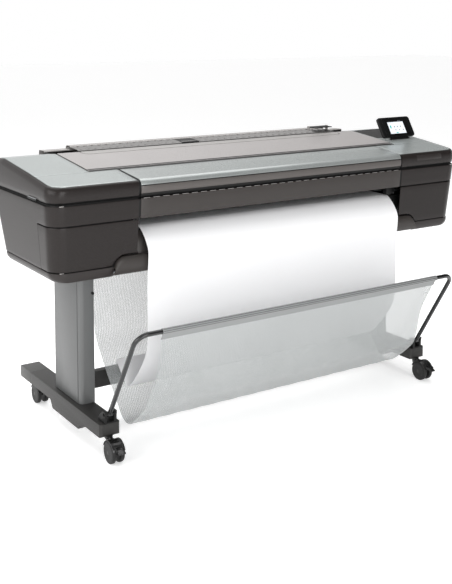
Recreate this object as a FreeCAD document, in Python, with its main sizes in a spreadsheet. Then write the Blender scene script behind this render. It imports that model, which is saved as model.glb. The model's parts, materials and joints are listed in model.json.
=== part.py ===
"""Large format plotter on a wheeled stand, with its paper bin.

The machine stands on the plane z = 0, its width along X and its front towards -Y.
Sizes along Y are written from the front face of the body (+Y to the rear), and
front_y carries them to the row frame, whose origin is the middle of the footprint.
Left and right are the operator's, facing the machine from the front.
"""
import FreeCAD, Part

import math
import os
import re

import Sketcher

DIMENSIONS = {
    # whole machine
    "front_y": -263.5,
    "wall": 3.0,
    "gap": 1.5,
    "running": 0.05,
    # body shells
    "body_half": 901.0,
    "seam_half": 584.0,
    "body_depth": 512.0,
    "line_a": 868.0,
    "line_b": 799.0,
    "line_c": 646.0,
    "body_floor": 611.0,
    "front_lean": 0.09,
    "side_lean": 0.07,
    "rear_lean": 0.3,
    "rear_crest": 528.0,
    "corner_round": 55.0,
    "rear_round": 40.0,
    "door_wrap": 120.0,
    "inlay_thick": 1.5,
    # covers
    "cover_rear": 153.0,
    "roll_cover_half": 690.0,
    "roll_cover_front": 160.0,
    "roll_cover_rear": 432.0,
    "hood_half": 600.0,
    "hood_top": 990.0,
    "lever_z": 998.5,
    "rear_box_half": 706.0,
    "rear_box_back": 560.0,
    "barrel_radius": 4.0,
    # display
    "display_x": 780.0,
    "display_width": 178.0,
    "display_height": 92.0,
    "display_thick": 14.0,
    "display_tilt": 31.0,
    "display_y": 222.0,
    "display_z": 958.0,
    # output side
    "guide_half": 670.0,
    "guide_top": 677.0,
    "pan_half": 756.0,
    "pan_bottom": 603.0,
    "pan_height": 13.0,
    "pan_front": 66.0,
    "pan_rear": 410.0,
    # frame and paper drive
    "plate_x": 750.0,
    "plate_thick": 3.0,
    "beam_front": 206.0,
    "beam_depth": 40.0,
    "beam_bottom": 790.0,
    "beam_top": 872.0,
    "platen_top": 761.0,
    "platen_front": 64.0,
    "platen_rear": 168.0,
    "feed_y": 190.0,
    "feed_radius": 18.0,
    "feed_shaft": 6.0,
    "pinch_radius": 9.0,
    "pinch_shaft": 3.0,
    "pinch_length": 44.0,
    "pinch_count": 10,
    "sheet_gap": 0.5,
    "sheet_thick": 0.8,
    "paper_half": 559.0,
    # roll
    "roll_y": 330.0,
    "roll_z": 862.0,
    "roll_radius": 62.0,
    "core_radius": 38.0,
    "spindle_radius": 12.0,
    "flange_radius": 66.0,
    "flange_thick": 14.0,
    # carriage
    "park_x": 662.0,
    "carriage_half": 72.0,
    "rail_radius": 8.0,
    "rail_y": 188.0,
    "rail_z": 858.0,
    "pulley_radius": 10.0,
    "pulley_x": 728.0,
    "pulley_z": 898.0,
    "pulley_front": 184.0,
    "belt_width": 8.0,
    "belt_thick": 1.2,
    "belt_play": 0.4,
    "motor_radius": 19.0,
    "cutter_x": 560.0,
    # ink
    "bay_inner": 757.0,
    "bay_outer": 866.0,
    "cartridge_count": 3,
    # power
    "power_x": -450.0,
    # stand
    "foot_inner": 660.0,
    "foot_outer": 735.0,
    "foot_front": 9.0,
    "foot_rear": 708.5,
    "foot_top": 123.0,
    "foot_under": 79.0,
    "foot_belly": 51.0,
    "foot_cap": 100.0,
    "foot_chamfer": 8.0,
    "column_inner": 657.0,
    "column_outer": 713.0,
    "column_front": 206.0,
    "column_rear": 415.0,
    "column_wall": 2.5,
    "brace_y": 318.0,
    "brace_bottom": 125.0,
    "brace_top": 187.0,
    # casters
    "caster_x": 697.5,
    "caster_front": 22.0,
    "caster_rear": 646.0,
    "caster_trail": 40.0,
    "wheel_radius": 37.0,
    "wheel_width": 16.0,
    "wheel_offset": 15.0,
    "axle_radius": 4.0,
    "stem_radius": 6.0,
    "fender_radius": 41.0,
    "fender_thick": 2.5,
    # paper bin
    "bin_x": 695.0,
    "bin_y": 17.0,
    "bin_z": 153.0,
    "bin_reach": 370.0,
    "bin_lean": 31.6,
    "bin_rod": 8.0,
    "bin_bend": 45.0,
    "bin_pin": 6.0,
    "fabric_half": 598.0,
    "fabric_thick": 1.6,
    "sling_back": 324.0,
}

doc = FreeCAD.newDocument("plotter")
sheet = doc.addObject("Spreadsheet::Sheet", "dims")
for row, (alias, value) in enumerate(DIMENSIONS.items(), start=1):
    sheet.set(f"A{row}", str(value))
    sheet.setAlias(f"A{row}", alias)
doc.recompute()

nodes = {}
SIDES = (("left", -1), ("right", 1))


# ---------------------------------------------------------------- helpers
def ref(text):
    """The expression with every cell name given its sheet."""
    return re.sub(r"[a-z][a-z_]*", lambda word: qualified(word[0]), str(text))


def qualified(word):
    return "dims." + word if word in DIMENSIONS else word


def dim(alias):
    return float(sheet.get(alias))


def bind(thing, prop, text):
    thing.setExpression(prop, ref(text))


def from_front(text):
    """A size measured back from the front face, as a row-frame Y."""
    return f"front_y + ({text})"


def mirrored(sign, low, high):
    """An X range given for the right side, on the side of this sign."""
    if sign > 0:
        return (low, high)
    return (f"-({high})", f"-({low})")


def keep(node, thing):
    """Name a finished sub-part."""
    thing.Label = node
    nodes[node] = thing
    return thing


def block(name, xs, ys, zs):
    thing = doc.addObject("Part::Box", name)
    for size, place, (low, high) in (
        ("Length", "x", xs),
        ("Width", "y", tuple(from_front(y) for y in ys)),
        ("Height", "z", zs),
    ):
        bind(thing, size, f"({high}) - ({low})")
        bind(thing, f"Placement.Base.{place}", low)
    return thing


TURNS = {
    "x": FreeCAD.Rotation(FreeCAD.Vector(0, 1, 0), 90),
    "y": FreeCAD.Rotation(FreeCAD.Vector(1, 0, 0), -90),
    "z": FreeCAD.Rotation(),
}


def rod(name, axis, start, length, radius):
    """A cylinder from start = (x, y, z) along +axis."""
    thing = doc.addObject("Part::Cylinder", name)
    thing.Placement.Rotation = TURNS[axis]
    bind(thing, "Radius", radius)
    bind(thing, "Height", length)
    bind(thing, "Placement.Base.x", start[0])
    bind(thing, "Placement.Base.y", from_front(start[1]))
    bind(thing, "Placement.Base.z", start[2])
    return thing


def joined(name, kind, *parts):
    thing = doc.addObject(kind, name)
    thing.Shapes = list(parts)
    return thing


def fuse(name, *parts):
    return joined(name, "Part::MultiFuse", *parts)


def group(name, *parts):
    """Separate solids that share one sub-part."""
    thing = doc.addObject("Part::Compound", name)
    thing.Links = list(parts)
    return thing


def cut(name, base, *tools):
    thing = doc.addObject("Part::Cut", name)
    thing.Base = base
    thing.Tool = tools[0] if len(tools) == 1 else fuse(name + "_tools", *tools)
    return thing


def overlap(name, first, second):
    thing = doc.addObject("Part::Common", name)
    thing.Base = first
    thing.Tool = second
    return thing


PLANES = {"x": "YZ_Plane", "y": "XZ_Plane", "z": "XY_Plane"}


def outline(body, name, axis, offset, points):
    """A closed sketch whose corners are held by cell expressions."""
    sketch = body.newObject("Sketcher::SketchObject", name)
    role = PLANES[axis]
    plane = next(item for item in body.Origin.OriginFeatures if item.Role == role)
    sketch.AttachmentSupport = (plane, "")
    sketch.MapMode = "FlatFace"
    bind(sketch, "AttachmentOffset.Base.z", offset)
    count = len(points)
    ring = [
        FreeCAD.Vector(
            100 * math.cos(2 * math.pi * i / count), 100 * math.sin(2 * math.pi * i / count)
        )
        for i in range(count)
    ]
    for i in range(count):
        sketch.addGeometry(Part.LineSegment(ring[i], ring[(i + 1) % count]), False)
    for i in range(count):
        sketch.addConstraint(Sketcher.Constraint("Coincident", i, 2, (i + 1) % count, 1))
    for i, (across, up) in enumerate(points):
        for kind, place, text in (
            ("DistanceX", ring[i].x, across),
            ("DistanceY", ring[i].y, up),
        ):
            index = sketch.addConstraint(Sketcher.Constraint(kind, -1, 1, i, 1, place))
            bind(sketch, f"Constraints[{index}]", text)
    return sketch


def prism(name, axis, low, high, points):
    """A padded outline from low to high along an axis.

    Points are (y, z) for axis x, (x, z) for axis y and (x, y) for axis z.
    """
    body = doc.addObject("PartDesign::Body", name)
    if axis == "x":
        offset = low
        corners = [(from_front(y), z) for y, z in points]
    elif axis == "y":
        offset = f"-({from_front(high)})"
        corners = points
    else:
        offset = low
        corners = [(x, from_front(y)) for x, y in points]
    sketch = outline(body, name + "_outline", axis, offset, corners)
    pad = body.newObject("PartDesign::Pad", name + "_pad")
    pad.Profile = sketch
    bind(pad, "Length", f"({high}) - ({low})")
    return body


def side_pocket(body, name, points):
    """Cut an (x, z) outline right through a body, front to rear."""
    sketch = outline(body, name + "_outline", "y", f"-({from_front('-30')})", points)
    pocket = body.newObject("PartDesign::Pocket", name)
    pocket.Profile = sketch
    bind(pocket, "Length", "body_depth + 120")
    return pocket


def round_edges(body, name, radius, choose):
    """Fillet the edges of a body's tip that choose(start, end) picks."""
    doc.recompute()
    tip = body.Tip
    picked = []
    for index, edge in enumerate(tip.Shape.Edges, start=1):
        start, end = edge.Vertexes[0].Point, edge.Vertexes[-1].Point
        if choose(start, end):
            picked.append(f"Edge{index}")
    fillet = body.newObject("PartDesign::Fillet", name)
    fillet.Base = (tip, picked)
    bind(fillet, "Radius", radius)
    return fillet


def upright_near(x, y):
    """Picks steep edges that pass within reach of (x, y from the front)."""
    place = FreeCAD.Vector(x, dim("front_y") + y, 0)

    def choose(start, end):
        run = end - start
        middle = (start + end) * 0.5
        near = math.hypot(middle.x - place.x, middle.y - place.y) < 45
        return near and abs(run.z) > 0.9 * run.Length and run.Length > 20

    return choose


def ribbon(name, points, thick, half_width):
    """A sheet of even thickness along a smooth (y, z) line, as wide as 2 * half_width."""
    line = Part.BSplineCurve()
    front = dim("front_y")
    places = [FreeCAD.Vector(-half_width, front + y, z) for y, z in points]
    line.interpolate(places)
    other = Part.BSplineCurve()
    shifted = []
    for place in places:
        along = line.tangent(line.parameter(place))[0]
        shifted.append(place + FreeCAD.Vector(0, -along.z, along.y) * thick)
    other.interpolate(shifted)
    edges = [
        line.toShape(),
        Part.makeLine(places[-1], shifted[-1]),
        other.toShape(),
        Part.makeLine(shifted[0], places[0]),
    ]
    face = Part.Face(Part.Wire(Part.__sortEdges__(edges)))
    thing = doc.addObject("Part::Feature", name)
    thing.Shape = face.extrude(FreeCAD.Vector(2 * half_width, 0, 0))
    thing.Placement = FreeCAD.Placement()
    return thing


# ---------------------------------------------------------------- stand
def make_feet():
    """Two runners with a deeper middle, and a moulded cap on each rear end."""
    caps = []
    for side, sign in SIDES:
        xs = mirrored(sign, "foot_inner", "foot_outer")
        split = "foot_rear - foot_cap"
        foot = prism(f"{side}_foot_body", "x", *xs, [
            ("foot_front", "foot_under + 6"),
            ("foot_front + 6", "foot_under"),
            ("foot_front + 125", "foot_under"),
            ("foot_front + 140", "foot_under - 12"),
            ("foot_front + 160", "foot_under - 12"),
            ("foot_front + 174", "foot_belly"),
            ("foot_front + 392", "foot_belly"),
            ("foot_front + 412", "foot_under"),
            (split, "foot_under"),
            (split, "foot_top"),
            ("foot_front", "foot_top"),
        ])
        socket = rod(f"{side}_front_socket", "z", (f"{sign} * caster_x", "caster_front", "foot_under - 1"),
                     "31", "stem_radius + running")
        hollow = prism(f"{side}_foot_hollow", "x",
                       *mirrored(sign, "foot_inner + wall", "foot_outer - wall"), [
            ("foot_front + 45", "foot_under + wall"),
            ("foot_front + 127", "foot_under + wall"),
            ("foot_front + 142", "foot_under - 9"),
            ("foot_front + 162", "foot_under - 9"),
            ("foot_front + 176", "foot_belly + wall"),
            ("foot_front + 390", "foot_belly + wall"),
            ("foot_front + 410", "foot_under + wall"),
            (f"{split} - 12", "foot_under + wall"),
            (f"{split} - 12", "foot_top - wall"),
            ("foot_front + 45", "foot_top - wall"),
        ])
        wedges = [
            prism(f"{side}_{edge}_wedge", "z", "foot_under - 1", "foot_top + 1", [
                (f"{sign} * {edge} - {out}", "foot_front - 1"),
                (f"{sign} * {edge} + {out} * (foot_chamfer + 1)", "foot_front - 1"),
                (f"{sign} * {edge} - {out}", "foot_front + foot_chamfer + 1"),
            ])
            for edge, out in (("foot_inner", sign), ("foot_outer", -sign))
        ]
        keep(f"{side}_foot", cut(f"{side}_foot_cut", foot, socket, hollow, *wedges))
        cap = prism(f"{side}_cap_body", "x", *xs, [
            (f"{split} + 0.6", "foot_under"),
            ("foot_rear - 5", "foot_under"),
            ("foot_rear", "foot_under + 8"),
            ("foot_rear", "foot_top - 4"),
            ("foot_rear - 4", "foot_top"),
            (f"{split} + 0.6", "foot_top"),
        ])
        socket = rod(f"{side}_rear_socket", "z", (f"{sign} * caster_x", "caster_rear", "foot_under - 1"),
                     "31", "stem_radius + running")
        caps.append(cut(f"{side}_cap_cut", cap, socket))
    keep("foot_end_caps", group("foot_end_caps_group", *caps))


def make_columns():
    """Folded steel columns with a flat cover on each outer side."""
    tubes = []
    covers = []
    for side, sign in SIDES:
        zs = ("foot_top", "pan_bottom")
        outer = block(f"{side}_column_outer", mirrored(sign, "column_inner", "column_outer"),
                      ("column_front", "column_rear"), zs)
        inner = block(
            f"{side}_column_inner",
            mirrored(sign, "column_inner + column_wall", "column_outer - column_wall"),
            ("column_front + column_wall", "column_rear - column_wall"), zs)
        tubes.append(cut(f"{side}_column_tube", outer, inner))
        covers.append(block(f"{side}_column_cover", mirrored(sign, "column_outer", "column_outer + 2"),
                            ("column_front + 18", "column_rear"), ("foot_top + 1", "pan_bottom - 1")))
    keep("columns", group("columns_group", *tubes))
    keep("column_covers", group("column_covers_group", *covers))
    brace_outer = block("brace_outer", ("-column_inner", "column_inner"),
                        ("brace_y", "brace_y + 30"), ("brace_bottom", "brace_top"))
    brace_inner = block("brace_inner", ("-column_inner", "column_inner"),
                        ("brace_y + 2", "brace_y + 31"), ("brace_bottom + 2", "brace_top - 2"))
    keep("cross_brace", cut("cross_brace_cut", brace_outer, brace_inner))


def make_stand_screws():
    """Button-head screws: column covers, and the hand screws on the column fronts."""
    screws = []
    for side, sign in SIDES:
        for place, y in (("front", "column_front + 40"), ("rear", "column_rear - 40")):
            x = "column_outer + 2" if sign > 0 else "-(column_outer + 5)"
            screws.append(rod(f"{side}_{place}_screw", "x", (x, y, "pan_bottom - 48"), "3", "5"))
        screws.append(rod(f"{side}_hand_screw", "y",
                          (f"{sign} * (column_inner + 7)", "column_front - 8", "foot_top + 390"), "8", "5"))
    keep("stand_screws", group("stand_screws_group", *screws))


def make_caster(corner, x_sign, y):
    """A hooded twin-wheel caster: stem, web and fender, with two wheels on one axle."""
    x = f"{x_sign} * caster_x"
    axle_y = f"({y} - caster_trail)"
    web_half = "(wheel_offset - wheel_width / 2 - 1.5)"
    half_width = "(wheel_offset + wheel_width / 2 - 1)"
    stem = rod(f"{corner}_stem", "z", (x, y, "foot_under - 12"), "40", "stem_radius")
    flange = rod(f"{corner}_flange", "z", (x, y, "foot_under - 9"), "8.5", "14")
    web = prism(f"{corner}_web", "x", f"{x} - {web_half}", f"{x} + {web_half}", [
        (f"{axle_y} - 12", "wheel_radius - 8"),
        (f"{axle_y} + 12", "wheel_radius - 8"),
        (f"{y} + 12", "wheel_radius + 22"),
        (f"{y} + 12", "foot_under - 1"),
        (f"{y} - 34", "foot_under - 3"),
        (f"{axle_y} - 14", "wheel_radius + 30"),
    ])
    disc = rod(f"{corner}_fender_disc", "x", (f"{x} - {half_width}", axle_y, "wheel_radius"),
               f"2 * {half_width}", "fender_radius")
    room = rod(f"{corner}_fender_room", "x", (f"{x} - 40", axle_y, "wheel_radius"), "80",
               "fender_radius - fender_thick")
    below = block(f"{corner}_fender_below", (f"{x} - 40", f"{x} + 40"),
                  (f"{axle_y} - 60", f"{axle_y} + 60"), ("-5", "wheel_radius + 14"))
    fender = cut(f"{corner}_fender", disc, room, below)
    parts = [stem, flange, web, fender]
    bores = [rod(f"{corner}_bore", "x", (f"{x} - 30", axle_y, "wheel_radius"), "60",
                 "axle_radius + running")]
    if corner.startswith("front"):
        pivot_y, pivot_z = f"({axle_y} - 44)", "(wheel_radius + 20)"
        parts += [
            prism(f"{corner}_lug_{way}", "x", f"{x} + {low}", f"{x} + {high}", [
                (f"{axle_y} - 33", "wheel_radius + 20"),
                (f"{pivot_y} + 2", f"{pivot_z} - 4"),
                (f"{pivot_y} - 4", f"{pivot_z} - 4"),
                (f"{pivot_y} - 4", f"{pivot_z} + 4"),
                (f"{axle_y} - 29", "wheel_radius + 28"),
            ])
            for way, low, high in (("inner", -16, -12.5), ("outer", 12.5, 16))
        ]
        bores.append(rod(f"{corner}_pedal_bore", "x", (f"{x} - 30", pivot_y, pivot_z), "60",
                         "2 + running"))
        make_brake(corner, x, pivot_y, pivot_z)
    keep(f"caster_{corner}", cut(f"{corner}_hood_cut", fuse(f"{corner}_hood", *parts), *bores))
    discs = [
        rod(f"{corner}_wheel_{name}", "x",
            (f"{x} + {way} * wheel_offset - wheel_width / 2", axle_y, "wheel_radius"),
            "wheel_width", "wheel_radius")
        for name, way in (("inner", -1), ("outer", 1))
    ]
    axle = rod(f"{corner}_axle", "x", (f"{x} - wheel_offset - 2", axle_y, "wheel_radius"),
               "2 * wheel_offset + 4", "axle_radius")
    keep(f"wheels_{corner}", fuse(f"{corner}_wheel_pair", axle, *discs))


def make_brake(corner, x, pivot_y, pivot_z):
    """The foot pedal that locks a front caster."""
    plate = prism(f"{corner}_pedal", "x", f"{x} - 12", f"{x} + 12", [
        (f"{pivot_y} + 1", f"{pivot_z} - 3"),
        (f"{pivot_y} - 17", f"{pivot_z} - 9"),
        (f"{pivot_y} - 18", f"{pivot_z} - 5"),
        (f"{pivot_y} - 1", f"{pivot_z} + 3"),
    ])
    barrel = rod(f"{corner}_pedal_barrel", "x", (f"{x} - 12", pivot_y, pivot_z), "24", "3.2")
    pin = rod(f"{corner}_pedal_pin", "x", (f"{x} - 16", pivot_y, pivot_z), "32", "2")
    keep(f"brake_{corner}", fuse(f"{corner}_brake", plate, barrel, pin))


# ---------------------------------------------------------------- paper bin
def make_bin_brackets():
    """Two ears on each foot that hold the bin frame's pins."""
    brackets = []
    for side, sign in SIDES:
        base = block(f"{side}_ear_base", mirrored(sign, "bin_x - 22", "bin_x + 22"),
                     ("foot_front + 1", "foot_front + 50"), ("foot_top", "foot_top + 4"))
        ears = [
            prism(f"{side}_ear_{way}", "x", *mirrored(sign, f"bin_x + {low}", f"bin_x + {high}"), [
                ("foot_front + 1", "foot_top"),
                ("foot_front + 50", "foot_top"),
                ("foot_front + 44", "foot_top + 18"),
                ("bin_y + 10", "bin_z + 11"),
                ("bin_y - 10", "bin_z + 11"),
                ("foot_front + 1", "bin_z - 6"),
            ])
            for way, low, high in (("inner", -22, -13), ("outer", 13, 22))
        ]
        bore = rod(f"{side}_ear_bore", "x", (f"{sign} * bin_x - 24", "bin_y", "bin_z"), "48",
                   "bin_pin + running")
        brackets.append(cut(f"{side}_bracket", fuse(f"{side}_ears", base, *ears), bore))
    keep("bin_brackets", group("bin_brackets_group", *brackets))


def bin_frame_wire():
    """The centre line of the bent rod, upright from its pins before it leans."""
    x, reach, bend = dim("bin_x"), dim("bin_reach"), dim("bin_bend")
    diagonal = bend * (1 - math.sqrt(0.5))
    corners = []
    for way in (-1, 1):
        corners.append((
            FreeCAD.Vector(way * x, 0, reach - bend),
            FreeCAD.Vector(way * (x - diagonal), 0, reach - diagonal),
            FreeCAD.Vector(way * (x - bend), 0, reach),
        ))
    left, right = corners
    return Part.Wire([
        Part.LineSegment(FreeCAD.Vector(-x, 0, 0), left[0]).toShape(),
        Part.Arc(*left).toShape(),
        Part.LineSegment(left[2], right[2]).toShape(),
        Part.Arc(*reversed(right)).toShape(),
        Part.LineSegment(right[0], FreeCAD.Vector(x, 0, 0)).toShape(),
    ])


def make_bin_frame():
    """A bent steel rod with a pin across each foot of it, leaning forward on its stop."""
    x, radius, pin = dim("bin_x"), dim("bin_rod"), dim("bin_pin")
    wire = bin_frame_wire()
    circle = Part.Wire([Part.Circle(FreeCAD.Vector(-x, 0, 0), FreeCAD.Vector(0, 0, 1), radius).toShape()])
    shape = wire.makePipeShell([circle], True, False)
    for way in (-1, 1):
        start = FreeCAD.Vector(way * x - 16.5, 0, 0)
        shape = shape.fuse(Part.makeCylinder(pin, 33, start, FreeCAD.Vector(1, 0, 0)))
        shape = shape.fuse(Part.makeSphere(radius, FreeCAD.Vector(way * x, 0, 0)))
    thing = doc.addObject("Part::Feature", "bin_frame_rod")
    thing.Shape = shape
    thing.Placement = FreeCAD.Placement(
        FreeCAD.Vector(0, dim("front_y") + dim("bin_y"), dim("bin_z")),
        FreeCAD.Rotation(FreeCAD.Vector(1, 0, 0), dim("bin_lean")),
    )
    keep("bin_frame", thing)


def make_bin_fabric():
    """The cloth: a front panel sewn round the rod, and a sling from there to the body."""
    lean = math.radians(dim("bin_lean"))
    bar_y = dim("bin_y") - dim("bin_reach") * math.sin(lean)
    bar_z = dim("bin_z") + dim("bin_reach") * math.cos(lean)
    thick, half = dim("fabric_thick"), dim("fabric_half")
    sleeve = dim("bin_rod") + 0.4
    centre = FreeCAD.Vector(-half, dim("front_y") + bar_y, bar_z)
    along = FreeCAD.Vector(1, 0, 0)
    hem = Part.makeCylinder(sleeve + thick, 2 * half, centre, along)
    hem = hem.cut(Part.makeCylinder(sleeve, 2 * half, centre, along))
    top_z = bar_z - sleeve - thick / 2
    panel = ribbon("bin_panel_sheet", [
        (bar_y, top_z), (bar_y + 22, bar_z - 55), (-122, 337), (-97, 265), (-78, 212),
    ], thick, half)
    thing = doc.addObject("Part::Feature", "bin_panel")
    thing.Shape = panel.Shape.cut(
        Part.makeCylinder(sleeve, 2 * half, centre, along)).fuse(hem).removeSplitter()
    keep("bin_front_panel", thing)
    back = dim("sling_back")
    keep("bin_sling", ribbon("bin_sling_sheet", [
        (-71, 194), (-26, 147), (20, 104), (54, 80), (86, 74), (114, 81), (138, 99), (180, 148),
        (232, 214), (274, 267), (302, 304), (back - 8, 335), (back - 2, 376), (back, 430),
        (back, 500), (back, dim("pan_bottom") - 1),
    ], thick, half))


# ---------------------------------------------------------------- body shells
def plan_wire(name, sign, inset, x_inner, z):
    """The lower body's outline in plan at height z, round at its two outer corners."""
    drop = dim("line_a") - z
    front = dim("front_y") + dim("front_lean") * drop + inset
    rear = dim("front_y") + dim("rear_crest") - inset - dim("rear_lean") * (drop - 14)
    outer = sign * (dim("body_half") - inset - dim("side_lean") * drop)
    inner = sign * x_inner
    corners = []
    for y, toward, radius in ((front, 1, dim("corner_round") - inset),
                              (rear, -1, dim("rear_round") - inset)):
        nearly = radius * (1 - math.sqrt(0.5))
        corners.append((
            FreeCAD.Vector(outer - sign * radius, y, z),
            FreeCAD.Vector(outer - sign * nearly, y + toward * nearly, z),
            FreeCAD.Vector(outer, y + toward * radius, z),
        ))
    (f1, f2, f3), (r1, r2, r3) = corners
    near, far = FreeCAD.Vector(inner, front, z), FreeCAD.Vector(inner, rear, z)
    wire = doc.addObject("Part::Feature", name)
    wire.Shape = Part.Wire([
        Part.makeLine(near, f1), Part.Arc(f1, f2, f3).toShape(), Part.makeLine(f3, r3),
        Part.Arc(r3, r2, r1).toShape(), Part.makeLine(r1, far), Part.makeLine(far, near),
    ])
    return wire


def end_block(name, sign, inset, x_inner, z_low, z_high):
    """The leaning end of the lower body, drawn in by inset on its three walls."""
    loft = doc.addObject("Part::Loft", name)
    loft.Sections = [
        plan_wire(name + "_low", sign, inset, x_inner, z_low),
        plan_wire(name + "_high", sign, inset, x_inner, z_high),
    ]
    loft.Solid = True
    loft.Ruled = True
    return loft


def make_side_panels():
    """The lower shells, the ink doors in them, and the moulded caps below them."""
    caps = []
    for side, sign in SIDES:
        low, high, seam = dim("line_c"), dim("line_a"), dim("seam_half")
        outer = end_block(f"{side}_skin_outer", sign, 0, seam + 1, low + 1, high - 2)
        inner = end_block(f"{side}_skin_inner", sign, dim("wall"), seam - 20, low - 20, high + 20)
        skin = cut(f"{side}_skin", outer, inner)
        door_space = cut(
            f"{side}_door_space",
            block(f"{side}_door_hole", mirrored(sign, "seam_half", "body_half + 5"),
                  ("-10", "door_wrap"), ("line_c", "line_b - 1")),
            block(f"{side}_door_notch", mirrored(sign, "seam_half - 1", "guide_half + 3"),
                  ("-20", "door_wrap + 10"), ("line_c - 10", "guide_top + 3")))
        door_box = cut(
            f"{side}_door_box",
            block(f"{side}_door_block", mirrored(sign, "seam_half + 2", "body_half + 5"),
                  ("-10", "door_wrap - gap"), ("line_c + 2", "line_b - 1 - gap")),
            block(f"{side}_door_bite", mirrored(sign, "seam_half - 1", "guide_half + 5"),
                  ("-20", "door_wrap + 10"), ("line_c - 10", "guide_top + 5")))
        strip = block(f"{side}_guide_space", mirrored(sign, "seam_half - 1", "guide_half + 3"),
                      ("-20", "door_wrap"), ("line_c - 10", "guide_top + 3"))
        keep(f"{side}_side_panel", cut(f"{side}_panel_cut", skin, door_space, strip))
        leaf = overlap(f"{side}_door_leaf", skin, door_box)
        barrel = rod(f"{side}_door_barrel", "z",
                     (f"{sign} * (seam_half + 14)", "16", "guide_top + 10"), "100", "barrel_radius")
        web = prism(f"{side}_door_web", "z", "guide_top + 10", "guide_top + 110", [
            (f"{sign} * (seam_half + 10.5)", "4 + front_lean * 100"),
            (f"{sign} * (seam_half + 17.5)", "4 + front_lean * 100"),
            (f"{sign} * (seam_half + 17.5)", "16"),
            (f"{sign} * (seam_half + 10.5)", "16"),
        ])
        keep(f"{side}_ink_door", fuse(f"{side}_door", leaf, barrel, web))
        caps.append(bottom_cap(side, sign))
    keep("bottom_caps", group("bottom_caps_group", *caps))


def bottom_cap(side, sign):
    """The tray-like cap that closes an end of the body underneath."""
    body = prism(f"{side}_cap_outer", "x", *mirrored(sign, "guide_half + 3", "body_half - 16"), [
        ("20", "line_c - gap / 2"),
        ("23.2", "body_floor"),
        ("416", "body_floor"),
        ("440", "body_floor + 9"),
        ("461", "line_c - gap / 2"),
    ])
    x = sign * (dim("body_half") - 16)
    round_edges(body, f"{side}_cap_round", "corner_round - 6", upright_near(x, 20))
    side_pocket(body, f"{side}_cap_flank", [
        (f"{sign} * (body_half - 15)", "body_floor + 22"),
        (f"{sign} * (body_half - 40)", "body_floor - 1"),
        (f"{sign} * (body_half + 20)", "body_floor - 1"),
        (f"{sign} * (body_half + 20)", "body_floor + 22"),
    ])
    hollow = prism(f"{side}_cap_hollow", "x",
                   *mirrored(sign, "guide_half - 10", "body_half - 45"), [
        ("24", "line_c + 10"),
        ("35", "body_floor + wall"),
        ("412", "body_floor + wall"),
        ("440", "body_floor + 16"),
        ("455", "line_c + 10"),
    ])
    over_pan = block(f"{side}_cap_over_pan", mirrored(sign, "guide_half - 10", "pan_half + gap"),
                     ("0", "600"), ("pan_bottom - 10", "pan_bottom + pan_height + gap"))
    behind = block(f"{side}_cap_behind", mirrored(sign, "guide_half - 10", "pan_half + gap"),
                   ("28", "600"), ("pan_bottom - 10", "line_c + 10"))
    return cut(f"{side}_cap_shell", body, hollow, over_pan, behind)


def top_line(lower):
    """The body's crest from front to rear, lowered by the given size."""
    return [
        ("4", f"919 - ({lower})"),
        ("16", f"927.5 - ({lower})"),
        ("51", f"931.5 - ({lower})"),
        ("215", f"952 - ({lower})"),
        ("430", f"975 - ({lower})"),
        ("497", f"969 - ({lower})"),
    ]


def end_cover_solid(name, sign, inset, x_inner, bottom, lower):
    """An end of the upper body, cut down to its crest line."""
    front, rear = f"({inset})", f"(body_depth - ({inset}))"
    x_low, x_high = mirrored(sign, x_inner, f"body_half - ({inset})")
    body = prism(name, "z", bottom, "985", [
        (x_low, front), (x_high, front), (x_high, rear), (x_low, rear),
    ])
    x = sign * dim("body_half")
    round_edges(body, name + "_front_round", f"corner_round - ({inset})", upright_near(x, 0))
    round_edges(body, name + "_rear_round", f"rear_round - ({inset})",
                upright_near(x, dim("body_depth")))
    crest = top_line(lower)
    sky = prism(name + "_sky", "x", *mirrored(sign, "seam_half - 60", "body_half + 20"), [
        ("-20", "1000"), ("-20", f"880 - ({lower})"), ("-1", f"905 - ({lower})"),
        *crest, ("515", f"953 - ({lower})"), ("540", "940"), ("540", "1000"),
    ])
    return cut(name + "_crested", body, sky)


def make_end_covers():
    """The upper end shells, and the light top panels let into them."""
    inlays = []
    for side, sign in SIDES:
        outer = end_cover_solid(f"{side}_top_outer", sign, "0", "seam_half + 1",
                                "line_a + 1.5", "inlay_thick")
        inner = end_cover_solid(f"{side}_top_inner", sign, "wall", "seam_half - 40",
                                "line_a - 20", "inlay_thick + wall")
        notch = block(f"{side}_roll_notch", mirrored(sign, "seam_half - 5", "roll_cover_half + gap"),
                      ("roll_cover_front - gap", "body_depth + 20"), ("line_a + 50", "1000"))
        shell = cut(f"{side}_end_cut", outer, inner, notch)
        if side == "right":
            bore = rod("display_bore", "x", ("display_x - 70", "display_y", "display_z"), "140",
                       "2.5 + running")
            shell = cut("right_end_bored", fuse("right_end_lugged", shell, *display_lugs()), bore)
        keep(f"{side}_end_cover", shell)
        inlays.append(top_inlay(side, sign))
    keep("top_inlays", group("top_inlays_group", *inlays))


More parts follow.
